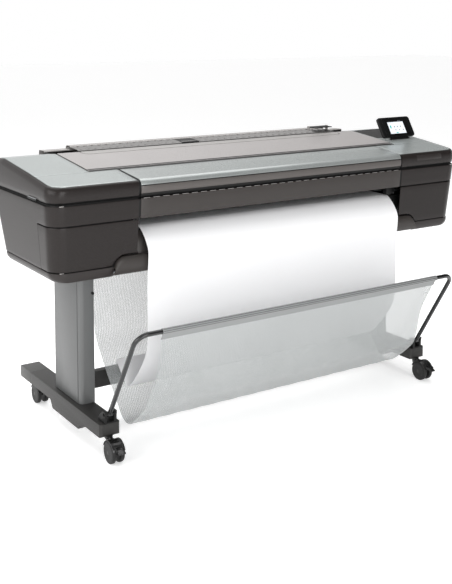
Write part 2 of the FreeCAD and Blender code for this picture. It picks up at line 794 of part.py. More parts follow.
def top_inlay(side, sign):
    """A thin panel that lies on an end cover and follows its crest."""
    crest = top_line("inlay_thick - 0.05")
    crest_above = top_line("0")
    strip = prism(f"{side}_inlay_strip", "x", *mirrored(sign, "seam_half + 2", "body_half - 13"),
                  crest + crest_above[::-1])
    plan = prism(f"{side}_inlay_plan", "z", "880", "1000", [
        (f"{sign} * (seam_half + 2)", "14"),
        (f"{sign} * (body_half - 13)", "14"),
        (f"{sign} * (body_half - 13)", "body_depth - 17"),
        (f"{sign} * (roll_cover_half + 4)", "body_depth - 17"),
        (f"{sign} * (roll_cover_half + 4)", "roll_cover_front - 4"),
        (f"{sign} * (seam_half + 2)", "roll_cover_front - 4"),
    ])
    if side == "right":
        room = block("lug_room", ("display_x - 58", "display_x + 58"), ("display_y - 7", "display_y + 7"),
                     ("880", "1000"))
    x = sign * (dim("body_half") - 13)
    round_edges(plan, f"{side}_inlay_front_round", "corner_round - 14", upright_near(x, 14))
    round_edges(plan, f"{side}_inlay_rear_round", "rear_round - 14",
                upright_near(x, dim("body_depth") - 17))
    panel = overlap(f"{side}_inlay", strip, plan)
    return cut("right_inlay_cut", panel, room) if side == "right" else panel


def make_centre_covers():
    """The two lifting covers and the fixed fascia between the end shells."""
    half = "seam_half - 1"
    skin = prism("window_skin", "x", f"-({half})", half, [
        ("10", "line_a + 1.5"), ("2", "line_a + 19"), ("0", "line_a + 37"), ("4", "919"),
        ("16", "927.5"), ("51", "931.5"), ("cover_rear", "944.5"),
        ("cover_rear", "941.5"), ("51", "928.5"), ("18", "924.5"), ("8", "917"),
        ("3.5", "line_a + 37"), ("5.5", "line_a + 20"), ("13", "line_a + 3"),
    ])
    barrels = [
        rod(f"window_barrel_{way}", "x", (f"{way} * 540 - 25", "cover_rear - 6", "938"), "50",
            "barrel_radius")
        for way in (-1, 1)
    ]
    keep("window_cover", fuse("window_fuse", skin, *barrels))

    lean = "front_lean * 67"
    keep("front_fascia", prism("fascia_body", "x", f"-({half})", half, [
        ("0.2", "line_a - 1"), (lean, "line_b"), ("34", "line_b"), ("34", "line_b + wall"),
        (f"{lean} + 3", "line_b + wall"), ("3.4", "line_a - 1 - wall"),
        ("28", "line_a - 1 - wall"), ("28", "line_a - 1"),
    ]))

    lid = prism("roll_lid", "x", "-roll_cover_half", "roll_cover_half", [
        ("roll_cover_front", "937"), ("roll_cover_front + 2", "943"),
        ("roll_cover_front + 18", "949"), ("215", "953.5"), ("roll_cover_rear", "976.5"),
        ("roll_cover_rear", "973.5"), ("215", "950.5"), ("roll_cover_front + 19", "946"),
        ("roll_cover_front + 5", "941"), ("roll_cover_front + 3", "937"),
    ])
    lid_barrels = [
        rod(f"lid_barrel_{way}", "x", (f"{way} * 540 - 30", "roll_cover_rear - 5", "970.5"), "60",
            "barrel_radius")
        for way in (-1, 1)
    ]
    keep("roll_cover", fuse("roll_cover_fuse", lid, *lid_barrels))


def make_rear():
    """The ribbed hood behind the roll cover, the rear box below it and the rear panel."""
    hood = prism("hood_body", "x", "-hood_half", "hood_half", [
        ("roll_cover_rear + 9", "976"), ("roll_cover_rear + 9", "979.5"),
        ("roll_cover_rear + 14", "hood_top - 8"), ("462", "hood_top - 5.5"), ("480", "hood_top - 4"),
        ("500", "hood_top - 3"), ("520", "hood_top - 2.2"), ("540", "hood_top - 2"),
        ("rear_box_back - 10", "hood_top - 4"), ("rear_box_back - 6", "hood_top - 9"),
        ("rear_box_back - 6", "976"), ("rear_box_back - 9", "976"),
        ("rear_box_back - 9", "hood_top - 9.6"), ("rear_box_back - 12", "hood_top - 6.6"),
        ("540", "hood_top - 5"), ("500", "hood_top - 6"), ("480", "hood_top - 7"),
        ("462", "hood_top - 8.5"), ("roll_cover_rear + 16", "hood_top - 11"),
        ("roll_cover_rear + 12", "976"),
    ])
    recess = block("hood_recess", ("-164", "-87"), ("roll_cover_rear + 5", "roll_cover_rear + 30"),
                   ("970", "1010"))
    box_outer = block("rear_box_outer", ("-rear_box_half", "rear_box_half"),
                      ("body_depth + 3", "rear_box_back"), ("line_a + 2", "977"))
    box_inner = block("rear_box_inner", ("-rear_box_half + wall", "rear_box_half - wall"),
                      ("body_depth - 5", "rear_box_back - wall"), ("line_a - 5", "977 - wall"))
    lugs = [
        block(f"lever_lug_{way}", (low, high), ("478", "492"), ("hood_top - 6", "lever_z + 5.5"))
        for way, low, high in (("inner", "494", "499"), ("outer", "593", "598"))
    ]
    pin_bore = rod("lever_bore", "x", ("480", "485", "lever_z"), "130", "2.5 + running")
    shell = fuse("hood_fuse", cut("hood_cut", hood, recess),
                 cut("rear_box_cut", box_outer, box_inner), *lugs)
    keep("rear_cover", cut("rear_cover_cut", shell, pin_bore))

    plate = prism("lever_plate", "x", "500.5", "591.5", [
        ("442", "lever_z - 1.5"), ("485", "lever_z - 2.7"), ("488", "lever_z"),
        ("485", "lever_z + 2.5"), ("442", "lever_z + 1.5"),
    ])
    barrel = rod("lever_barrel", "x", ("500.5", "485", "lever_z"), "91", "3.2")
    pin = rod("lever_pin", "x", ("494", "485", "lever_z"), "104", "2.5")
    keep("release_lever", fuse("release_lever_fuse", plate, barrel, pin))

    half = "seam_half - 1"
    skin = prism("rear_skin", "x", f"-({half})", half, [
        ("524", "line_a - 3"), ("527", "844"), ("461", "line_c"), ("440", "621"), ("412", "617"),
        ("412", "620"), ("438", "624"), ("458", "line_c + 1"), ("524", "844"), ("521", "line_a - 3"),
    ])
    port = block("power_port", ("power_x - 51.5", "power_x + 51.5"), ("440", "520"), ("678.5", "731.5"))
    keep("rear_panel", cut("rear_panel_cut", skin, port))


def make_bottom():
    """The steel pan under the body, and the guide that the paper slides over."""
    outer = block("pan_outer", ("-pan_half", "pan_half"), ("pan_front", "pan_rear"),
                  ("pan_bottom", "pan_bottom + pan_height"))
    inner = block("pan_inner", ("-pan_half + 2", "pan_half - 2"), ("pan_front + 2", "pan_rear - 2"),
                  ("pan_bottom + 2", "pan_bottom + pan_height + 1"))
    keep("bottom_pan", cut("bottom_pan_cut", outer, inner))
    top = "pan_bottom + pan_height"
    lower = prism("guide_lower", "x", "-guide_half", "guide_half", [
        ("14", f"{top} + 1"), ("7", "635"), ("6", "655"), ("12", "guide_top"),
        ("30", "guide_top"), ("30", "guide_top - 3"), ("14", "guide_top - 3"),
        ("9.5", "655"), ("10.5", "635"), ("17", f"{top} + 1"),
    ])
    upper = prism("guide_upper", "x", "-(seam_half - 4)", "seam_half - 4", [
        ("27", "guide_top"), ("30", "guide_top"), ("38", "715"), ("52", "738"), ("platen_front", "745"),
        ("platen_front", "748"), ("50", "741"), ("35.5", "716.5"),
    ])
    keep("output_guide", fuse("output_guide_fuse", lower, upper))


# ---------------------------------------------------------------- display
def tilted_block(name, size, offset):
    """A box drawn along the display: offset is (across, through, up) from its pivot."""
    thing = doc.addObject("Part::Box", name)
    for prop, text in zip(("Length", "Width", "Height"), size):
        bind(thing, prop, text)
    across, through, up = offset
    thing.Placement.Rotation = FreeCAD.Rotation(FreeCAD.Vector(1, 0, 0), -dim("display_tilt"))
    tilt = "display_tilt * 1 deg"
    bind(thing, "Placement.Base.x", f"display_x + {across}")
    bind(thing, "Placement.Base.y",
         from_front(f"display_y + ({through}) * cos({tilt}) + ({up}) * sin({tilt})"))
    bind(thing, "Placement.Base.z", f"display_z - ({through}) * sin({tilt}) + ({up}) * cos({tilt})")
    return thing


def make_display():
    """The tilting touch display on the right end cover."""
    width, height, thick = "display_width", "display_height", "display_thick"
    case = tilted_block("display_case", (width, thick, height), (f"-{width} / 2", f"-{thick} / 2", "6"))
    neck = tilted_block("display_neck", ("100", "6", "12"), ("-50", "-3", "0"))
    glass = tilted_block("display_glass", (f"{width} - 52", "1.4", f"{height} - 34"),
                         (f"26 - {width} / 2", f"-{thick} / 2 - 0.4", "23"))
    barrel = rod("display_barrel", "x", ("display_x - 50", "display_y", "display_z"), "100", "4")
    pin = rod("display_pin", "x", ("display_x - 56", "display_y", "display_z"), "112", "2.5")
    whole = fuse("display_case_fuse", case, neck, barrel, pin)
    keep("display_housing", cut("display_case_cut", whole, glass))
    keep("display_screen", glass)


def display_lugs():
    """Two rounded lugs that hold the display's pin."""
    lugs = []
    for way, low in (("left", "display_x - 56"), ("right", "display_x + 50.5")):
        boss = rod(f"lug_boss_{way}", "x", (low, "display_y", "display_z"), "5.5", "5")
        post = block(f"lug_post_{way}", (low, f"{low} + 5.5"), ("display_y - 5", "display_y + 5"),
                     ("945", "display_z"))
        lugs += [boss, post]
    return lugs


# ---------------------------------------------------------------- mechanism
def make_side_plates():
    """Steel plates that carry the shafts, with an open slot for the roll spindle."""
    plates = []
    for side, sign in SIDES:
        xs = mirrored(sign, "plate_x", "plate_x + plate_thick")
        plate = prism(f"{side}_plate", "x", *xs, [
            ("60", "640"), ("60", "915"), ("150", "930"), ("440", "960"), ("500", "900"),
            ("486", "765"), ("450", "660"), ("405", "pan_bottom + pan_height"),
            ("120", "pan_bottom + pan_height"),
        ])
        start = "plate_x - 5" if sign > 0 else "-(plate_x + 10)"
        holes = [
            rod(f"{side}_{name}_hole", "x", (start, y, z), "15", f"{radius} + running")
            for name, y, z, radius in (
                ("feed", "feed_y", "platen_top + 0.1 - feed_radius", "feed_shaft"),
                ("pinch", "feed_y", "platen_top + 2 * sheet_gap + sheet_thick + 0.1 + pinch_radius",
                 "pinch_shaft"),
                ("spindle", "roll_y", "roll_z", "spindle_radius"),
            )
        ]
        slot = block(f"{side}_slot", mirrored(sign, "plate_x - 5", "plate_x + 10"),
                     ("roll_y - spindle_radius - 0.05", "roll_y + spindle_radius + 0.05"),
                     ("roll_z", "980"))
        plates.append(cut(f"{side}_plate_cut", plate, *holes, slot))
    keep("side_plates", group("side_plates_group", *plates))


def make_beam():
    """The cross beam, the rail in front of it and the idler's bearing block."""
    xs = ("-plate_x", "plate_x")
    outer = block("beam_outer", xs, ("beam_front", "beam_front + beam_depth"),
                  ("beam_bottom", "beam_top"))
    inner = block("beam_inner", xs, ("beam_front + 2.5", "beam_front + beam_depth + 1"),
                  ("beam_bottom + 2.5", "beam_top - 2.5"))
    mount = block("idler_block", ("-pulley_x - 12", "-pulley_x + 12"),
                  ("beam_front", "beam_front + 24"), ("beam_top - 2", "pulley_z + 12"))
    bore = rod("idler_bore", "y", ("-pulley_x", "beam_front - 1", "pulley_z"), "20", "3 + running")
    beam = fuse("beam_fuse", cut("beam_cut", outer, inner), mount)
    keep("main_beam", cut("beam_bored", beam, bore))
    keep("carriage_rail", rod("rail_rod", "x", ("-plate_x", "rail_y", "rail_z"), "2 * plate_x",
                              "rail_radius"))


def make_platen():
    """The ribbed bed under the print heads, and the service station beside it."""
    top = block("platen_outer", ("-plate_x", "seam_half + 2"), ("platen_front", "platen_rear"),
                ("700", "platen_top"))
    hollow = block("platen_inner", ("-plate_x + 4", "seam_half - 2"),
                   ("platen_front + 4", "platen_rear - 4"), ("690", "platen_top - 4"))
    keep("platen", cut("platen_cut", top, hollow))
    base = block("station_base", ("seam_half + 4", "plate_x"), ("platen_front", "platen_rear"),
                 ("690", "755"))
    cap_seats = [
        block(f"station_cap_{i}", (f"park_x - 44 + {i} * 46", f"park_x - 4 + {i} * 46"),
              ("86", "150"), ("755", "763.5"))
        for i in range(2)
    ]
    keep("service_station", fuse("service_station_fuse", base, *cap_seats))


def make_paper_drive():
    """Feed roller under the sheet, pinch rollers above it."""
    feed_z = "platen_top + 0.1 - feed_radius"
    barrel = rod("feed_barrel", "x", ("-paper_half - 16", "feed_y", feed_z),
                 "2 * (paper_half + 16)", "feed_radius")
    shaft = rod("feed_shaft_rod", "x", ("-plate_x - plate_thick", "feed_y", feed_z),
                "2 * (plate_x + plate_thick)", "feed_shaft")
    keep("feed_roller", fuse("feed_roller_fuse", barrel, shaft))
    pinch_z = "platen_top + 2 * sheet_gap + sheet_thick + 0.1 + pinch_radius"
    count = int(dim("pinch_count"))
    pitch = "(2 * paper_half / pinch_count)"
    rollers = [
        rod(f"pinch_{i}", "x",
            (f"-paper_half + {pitch} * ({i} + 0.5) - pinch_length / 2", "feed_y", pinch_z),
            "pinch_length", "pinch_radius")
        for i in range(count)
    ]
    shaft = rod("pinch_shaft_rod", "x", ("-plate_x - plate_thick", "feed_y", pinch_z),
                "2 * (plate_x + plate_thick)", "pinch_shaft")
    keep("pinch_rollers", fuse("pinch_rollers_fuse", shaft, *rollers))


def make_roll():
    """The spindle with its two flanges, and the paper wound on its core."""
    start = "-plate_x - plate_thick - 18"
    spindle = rod("spindle_rod", "x", (start, "roll_y", "roll_z"), f"-2 * ({start})", "spindle_radius")
    hub = rod("spindle_hub", "x", ("-paper_half", "roll_y", "roll_z"), "2 * paper_half",
              "core_radius - 0.2")
    flanges = [
        rod("flange_left", "x", ("-paper_half - 1 - flange_thick", "roll_y", "roll_z"),
            "flange_thick", "flange_radius"),
        rod("flange_right", "x", ("paper_half + 1", "roll_y", "roll_z"),
            "flange_thick", "flange_radius"),
    ]
    hollow_hub = cut("hub_tube", hub, rod("hub_bore", "x", ("-paper_half + 30", "roll_y", "roll_z"),
                                          "2 * paper_half - 60", "core_radius - 3"))
    keep("spindle", fuse("spindle_fuse", spindle, hollow_hub, *flanges))
    wound = rod("roll_wound", "x", ("-paper_half", "roll_y", "roll_z"), "2 * paper_half", "roll_radius")
    core = rod("roll_core", "x", ("-paper_half - 1", "roll_y", "roll_z"), "2 * paper_half + 2",
               "core_radius")
    keep("paper_roll", cut("paper_roll_cut", wound, core))


def make_paper():
    """The sheet: off the underside of the roll, over the platen, down and into the bin."""
    z = dim("platen_top") + 0.1 + dim("sheet_gap") + dim("sheet_thick")
    keep("paper_sheet", ribbon("paper_sheet_line", [
        (336, z + 35.2), (300, z + 26), (250, z + 12.5), (205, z + 1.2), (185, z), (150, z), (112, z),
        (84, z), (66, z - 0.1), (46, 755), (24, 737), (5, 715), (-8, 690), (-8, 655), (-2, 600), (0, 540),
        (0, 420), (3, 375), (14, 332), (42, 286), (82, 236), (118, 198), (140, 181), (154, 178),
        (170, 185), (203, 214), (239, 247),
    ], dim("sheet_thick"), dim("paper_half")))


def make_carriage():
    """The carriage parked over its service station, with the heads under it."""
    low, high = "park_x - carriage_half", "park_x + carriage_half"
    case = prism("carriage_case", "x", low, high, [
        ("66", "777"), ("66", "855"), ("90", "882"), ("172", "882"), ("202", "878"),
        ("202", "838"), ("176", "838"), ("176", "777"),
    ])
    clip = block("carriage_clip", ("park_x - 14", "park_x + 14"), ("pulley_front", "pulley_front + 8"),
                 ("870", "pulley_z - pulley_radius - belt_play - belt_thick - 0.5"))
    bore = rod("carriage_bore", "x", (f"{low} - 1", "rail_y", "rail_z"), "2 * carriage_half + 2",
               "rail_radius + running")
    keep("carriage", cut("carriage_cut", fuse("carriage_fuse", case, clip), bore))
    heads = [
        block(f"head_{i}", (f"park_x - 44 + {i} * 46", f"park_x - 4 + {i} * 46"), ("86", "150"),
              ("765.5", "777"))
        for i in range(2)
    ]
    keep("print_heads", group("print_heads_group", *heads))


def make_scan_drive():
    """The toothed belt that pulls the carriage, its two pulleys and the motor."""
    pulley_mid = "pulley_front"
    for name, way in (("drive", 1), ("idler", -1)):
        x = f"{way} * pulley_x"
        wheel = rod(f"{name}_wheel", "y", (x, pulley_mid, "pulley_z"), "belt_width", "pulley_radius")
        stub = rod(f"{name}_stub", "y", (x, pulley_mid, "pulley_z"), "beam_front - pulley_front + 12", "3")
        keep(f"{name}_pulley", fuse(f"{name}_pulley_fuse", wheel, stub))

    def loop(name, play):
        radius = f"(pulley_radius + {play})"
        ends = [
            rod(f"{name}_end_{way}", "y", (f"{way} * pulley_x", pulley_mid, "pulley_z"), "belt_width", radius)
            for way in (-1, 1)
        ]
        middle = block(f"{name}_middle", ("-pulley_x", "pulley_x"),
                       (pulley_mid, f"{pulley_mid} + belt_width"),
                       (f"pulley_z - {radius}", f"pulley_z + {radius}"))
        return fuse(name, middle, *ends)

    keep("drive_belt", cut("belt_cut", loop("belt_outer", "belt_play + belt_thick"),
                           loop("belt_inner", "belt_play")))
    can = rod("motor_can", "y", ("pulley_x", "beam_front - 4", "pulley_z"), "52", "motor_radius")
    bore = rod("motor_bore", "y", ("pulley_x", "beam_front - 5", "pulley_z"), "20", "3 + running")
    keep("scan_motor", cut("scan_motor_cut", can, bore))


def make_cutter():
    """The knife holder that runs under the fascia's lower edge."""
    body = block("cutter_body", ("cutter_x - 20", "cutter_x + 20"), ("38", "58"), ("766", "796"))
    blade = rod("cutter_blade", "y", ("cutter_x", "46", "772"), "3", "7")
    keep("cutter", fuse("cutter_fuse", body, blade))


def make_ink():
    """Open-fronted ink bays outside the side plates, three cartridges in each."""
    bays = []
    cartridges = []
    count = int(dim("cartridge_count"))
    for side, sign in SIDES:
        outer = block(f"{side}_bay_outer", mirrored(sign, "bay_inner", "bay_outer"), ("44", "344"),
                      ("652", "790"))
        pitch = "((bay_outer - bay_inner - 4) / cartridge_count)"
        slots = []
        for i in range(count):
            low = f"bay_inner + 2 + {i} * {pitch} + 1"
            high = f"bay_inner + 2 + ({i} + 1) * {pitch} - 1"
            slots.append(block(f"{side}_bay_slot_{i}", mirrored(sign, low, high), ("34", "334"),
                               ("655", "786")))
            cartridges.append(block(f"{side}_cartridge_{i}", mirrored(sign, f"{low} + 1", f"{high} - 1"),
                                    ("50", "330"), ("655.5", "780")))
        bays.append(cut(f"{side}_bay", outer, *slots))
    keep("ink_bays", group("ink_bays_group", *bays))
    keep("ink_cartridges", group("ink_cartridges_group", *cartridges))


def make_power():
    """The supply with its inlet socket and rocker switch, reached through the rear panel."""
    case = block("power_case", ("power_x - 50", "power_x + 50"), ("380", "490"), ("680", "730"))
    inlet = block("power_inlet", ("power_x - 38", "power_x - 8"), ("474", "495"), ("694", "716"))
    well = block("switch_well", ("power_x + 12", "power_x + 34"), ("478", "495"), ("690", "720"))
    keep("power_unit", cut("power_unit_cut", case, inlet, well))
    rocker = prism("rocker_body", "x", "power_x + 12.5", "power_x + 33.5", [
        ("484", "692"), ("492", "692.5"), ("488.5", "705"), ("490", "717.5"), ("484", "718"),
    ])
    barrel = rod("rocker_barrel", "x", ("power_x + 12.5", "485", "705"), "21", "4")
    keep("power_switch", fuse("power_switch_fuse", rocker, barrel))


# ---------------------------------------------------------------- build
CORNERS = (
    ("front_left", -1, "caster_front"),
    ("front_right", 1, "caster_front"),
    ("rear_left", -1, "caster_rear"),
    ("rear_right", 1, "caster_rear"),
)


def build():
    make_feet()
    make_columns()
    make_stand_screws()
    for corner, x_sign, y in CORNERS:
        make_caster(corner, x_sign, y)
    make_bin_brackets()
    make_bin_frame()
    make_bin_fabric()
    make_side_panels()
    make_end_covers()
    make_centre_covers()
    make_rear()
    make_bottom()
    make_display()
    make_side_plates()
    make_beam()
    make_platen()
    make_paper_drive()
    make_roll()
    make_paper()
    make_carriage()
    make_scan_drive()
    make_cutter()
    make_ink()
    make_power()


def export():
    """Check every object, then write one file for each sub-part."""
    doc.recompute()
    for thing in doc.Objects:
        if "Invalid" in thing.State or "Error" in thing.State:
            raise SystemExit(f"{thing.Name} failed: {thing.State}")
    for node, thing in nodes.items():
        if thing.Shape.isNull() or not thing.Shape.isValid() or not thing.Shape.Solids:
            raise SystemExit(f"{node} has no valid shape")
    os.makedirs("parts", exist_ok=True)
    for node, thing in nodes.items():
        thing.Shape.exportStep(f"parts/{node}.step")
    print(len(nodes), "sub-parts written")


build()
export()
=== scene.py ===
"""Looks of the large format plotter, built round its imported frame.

Sizes are in millimetres, written like the part's own: x from the middle, yf measured
back from the body's front face, z up from the floor. place() carries them to metres.
"""

import json
import math

import bmesh
import bpy
from mathutils import Euler, Matrix, Vector


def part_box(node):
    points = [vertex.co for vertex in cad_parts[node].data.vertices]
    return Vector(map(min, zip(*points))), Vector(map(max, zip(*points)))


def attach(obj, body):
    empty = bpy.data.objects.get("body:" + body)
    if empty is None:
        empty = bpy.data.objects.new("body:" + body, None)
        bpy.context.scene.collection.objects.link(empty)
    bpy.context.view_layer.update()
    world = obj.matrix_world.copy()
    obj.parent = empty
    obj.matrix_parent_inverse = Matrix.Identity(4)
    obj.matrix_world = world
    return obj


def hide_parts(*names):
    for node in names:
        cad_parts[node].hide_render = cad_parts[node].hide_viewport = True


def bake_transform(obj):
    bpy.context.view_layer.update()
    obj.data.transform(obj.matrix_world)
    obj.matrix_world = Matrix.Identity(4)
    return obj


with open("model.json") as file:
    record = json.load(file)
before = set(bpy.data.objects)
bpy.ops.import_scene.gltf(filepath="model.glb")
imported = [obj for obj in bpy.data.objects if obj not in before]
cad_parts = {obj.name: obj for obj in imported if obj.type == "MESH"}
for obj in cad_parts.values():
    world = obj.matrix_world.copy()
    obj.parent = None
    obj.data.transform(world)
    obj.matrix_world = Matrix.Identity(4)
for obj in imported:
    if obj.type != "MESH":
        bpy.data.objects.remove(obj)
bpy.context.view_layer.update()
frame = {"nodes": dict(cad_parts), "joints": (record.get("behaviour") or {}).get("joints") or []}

MM = 0.001
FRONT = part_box("left_end_cover")[0].y
BODY_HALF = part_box("right_end_cover")[1].x / MM
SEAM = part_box("right_end_cover")[0].x / MM
DEPTH = 512.0
LINE_A, LINE_C, FLOOR_Z = 868.0, 646.0, 611.0
CORNER_FRONT, CORNER_REAR = 55.0, 40.0
WALL, INLAY_IN = 2.5, 14.4
CREST = [(16, 927.5), (51, 931.5), (215, 952), (430, 975), (497, 969)]
SIDES = (("left", -1), ("right", 1))


# ---------------------------------------------------------------- mesh helpers
def place(x, yf, z):
    """One of this script's points, in metres in the frame."""
    return Vector((x * MM, FRONT + yf * MM, z * MM))


def measured(point):
    """A point of the frame as this script's x, yf and z."""
    x, y, z = point
    return (x / MM, (y - FRONT) / MM, z / MM)


def joint_place(name):
    """Where a joint of the frame sits."""
    return measured(next(joint for joint in frame["joints"] if joint["name"] == name)["pos_m"])


def interpolate(table, value):
    """Straight-line reading of a table of (value, result) pairs, held at its ends."""
    if value <= table[0][0]:
        return table[0][1]
    for (a, fa), (b, fb) in zip(table, table[1:]):
        if value <= b:
            return fa + (fb - fa) * (value - a) / (b - a)
    return table[-1][1]


def spread(low, high, count):
    return [low + (high - low) * i / (count - 1) for i in range(count)]

def arc(cx, cy, radius, start, count=11, sweep=90.0):
    """Points round a centre, over a sweep in degrees from the start angle."""
    turns = [math.radians(start + sweep * i / (count - 1)) for i in range(count)]
    return [(cx + radius * math.cos(turn), cy + radius * math.sin(turn)) for turn in turns]


def corner_drop(run, radius):
    """How far a rounded corner falls back at a run past where its arc starts."""
    return radius - math.sqrt(max(radius ** 2 - max(run, 0) ** 2, 0))


def side_span(sign, low, high):
    """A span of x on the right side, or its mirror image on the left."""
    return sorted((sign * low, sign * high))


def pin_profile(half, radius, ease, fall):
    """A plain pin for lathe(), with eased ends."""
    return [(-half, 0.01), (-half, radius - fall), (ease - half, radius), (half - ease, radius),
            (half, radius - fall), (half, 0.01)]


def new_object(name, points, faces):
    """An object in the scene from points in millimetres."""
    mesh = bpy.data.meshes.new(name)
    mesh.from_pydata([place(*p) for p in points], [], faces)
    mesh.validate()
    thing = bpy.data.objects.new(name, mesh)
    bpy.context.scene.collection.objects.link(thing)
    return thing


def grid(name, rows, flip=False, ring=False):
    """A surface through rows of points; ring closes each row on itself."""
    width = len(rows[0])
    points = [p for row in rows for p in row]
    faces = []
    for i in range(len(rows) - 1):
        for j in range(width if ring else width - 1):
            k = (j + 1) % width
            face = [i * width + j, i * width + k, (i + 1) * width + k, (i + 1) * width + j]
            faces.append(face[::-1] if flip else face)
    return new_object(name, points, faces)


def add_flat_map(thing, rows):
    """UVs in metres: across the sheet, and along it from its first row."""
    mesh = thing.data
    layer = mesh.uv_layers.new(name="UVMap")
    width = len(rows[0])
    along = [0.0]
    for previous, row in zip(rows, rows[1:]):
        along.append(along[-1] + (Vector(row[width // 2]) - Vector(previous[width // 2])).length * MM)
    for loop in mesh.loops:
        i, j = divmod(loop.vertex_index, width)
        layer.data[loop.index].uv = (rows[i][j][0] * MM, along[i])
    return along[-1]


def solid(thing, thick):
    """Give a surface thickness on the side away from its normals."""
    modifier = thing.modifiers.new("solid", "SOLIDIFY")
    modifier.thickness = thick * MM
    modifier.offset = -1
    modifier.use_even_offset = True


def bevel(thing, width, segments=2, angle=30):
    """Round the edges that are sharper than the angle."""
    modifier = thing.modifiers.new("bevel", "BEVEL")
    modifier.width = width * MM
    modifier.segments = segments
    modifier.limit_method = "ANGLE"
    modifier.angle_limit = math.radians(angle)
    modifier.harden_normals = False


def bake(thing, angle=32):
    """Apply the modifiers and shade smooth between edges sharper than the angle."""
    graph = bpy.context.evaluated_depsgraph_get()
    mesh = bpy.data.meshes.new_from_object(thing.evaluated_get(graph))
    thing.modifiers.clear()
    thing.data = mesh
    mesh.name = thing.name
    for polygon in mesh.polygons:
        polygon.use_smooth = True
    mesh.set_sharp_from_angle(angle=math.radians(angle))
    return thing


def skin(name, rows, thick, round_by=0, segments=2, angle=30, smooth=32, flip=False, ring=False):
    """A shell of even thickness behind a surface through rows of points."""
    thing = grid(name, rows, flip, ring)
    solid(thing, thick)
    if round_by:
        bevel(thing, round_by, segments, angle)
    return bake(thing, smooth)


def join(name, things):
    """One object from several, each already baked."""
    merged = bmesh.new()
    for thing in things:
        merged.from_mesh(thing.data)
    mesh = bpy.data.meshes.new(name)
    merged.to_mesh(mesh)
    merged.free()
    for thing in things:
        bpy.data.objects.remove(thing)
    result = bpy.data.objects.new(name, mesh)
    bpy.context.scene.collection.objects.link(result)
    return bake(result)


def edit(mesh, *steps):
    """Run some of the steps below on a mesh."""
    work = bmesh.new()
    work.from_mesh(mesh)
    for step in steps:
        step(work)
    work.to_mesh(mesh)
    work.free()


def weld(work):
    bmesh.ops.remove_doubles(work, verts=work.verts, dist=1e-6)


def close_holes(work):
    bmesh.ops.holes_fill(work, edges=work.edges)


def face_outwards(work):
    bmesh.ops.recalc_face_normals(work, faces=work.faces)


def merge_flat(work):
    bmesh.ops.dissolve_limit(work, angle_limit=math.radians(1.5), verts=work.verts, edges=work.edges)


def finish(thing, body, material, *nodes, slot=None):
    """A piece's material, the body it rides on and the nodes it stands for; slot is not used."""
    thing.data.materials.clear()
    thing.data.materials.append(material)
    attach(thing, body)
    if nodes:
        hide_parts(*nodes)
    return thing


def box_piece(name, xs, ys, zs, round_by=1.0, segments=2):
    """A block with rounded edges."""
    corners = [(x, y, z) for z in zs for y in ys for x in xs]
    faces = [(0, 2, 3, 1), (4, 5, 7, 6), (0, 1, 5, 4), (1, 3, 7, 5), (3, 2, 6, 7), (2, 0, 4, 6)]
    thing = new_object(name, corners, faces)
    if round_by:
        bevel(thing, round_by, segments)
    return bake(thing)


def lathe(name, centre, axis, profile, steps=48):
    """A body of revolution: profile pairs are (distance along the axis, radius)."""
    rows = []
    for along, radius in profile:
        row = []
        for i in range(steps):
            turn = 2 * math.pi * i / steps
            a, b = radius * math.cos(turn), radius * math.sin(turn)
            offset = {"x": (along, a, b), "y": (b, along, a), "z": (a, b, along)}[axis]
            row.append(tuple(c + o for c, o in zip(centre, offset)))
        rows.append(row)
    thing = grid(name, rows, ring=True, flip=True)
    edit(thing.data, weld, close_holes, face_outwards)
    return bake(thing)


def strip(name, xs, profile, thick, round_by=0.6, flip=False):
    """An open (yf, z) outline drawn along x, as a sheet of even thickness."""
    return skin(name, [[(x, y, z) for x in xs] for y, z in profile], thick, round_by, flip=flip)


def softened(node, body, material, width=1.2, segments=2, slot=None):
    """The node's own shape with its hard edges rounded."""
    thing = bpy.data.objects.new(node + "_piece", frame["nodes"][node].data.copy())
    bpy.context.scene.collection.objects.link(thing)
    edit(thing.data, weld, merge_flat)
    bevel(thing, width, segments, angle=40)
    return finish(bake(thing), body, material, node, slot=slot)


# ---------------------------------------------------------------- materials
def srgb(r, g, b):
    """An eight-bit display colour as scene-linear red, green, blue, alpha."""
    def linear(value):
        share = value / 255
        return share / 12.92 if share <= 0.04045 else ((share + 0.055) / 1.055) ** 2.4
    return (linear(r), linear(g), linear(b), 1.0)


def set_inputs(node, values):
    """Fill a node's sockets by name."""
    for name, value in values.items():
        node.inputs[name].default_value = value
    return node


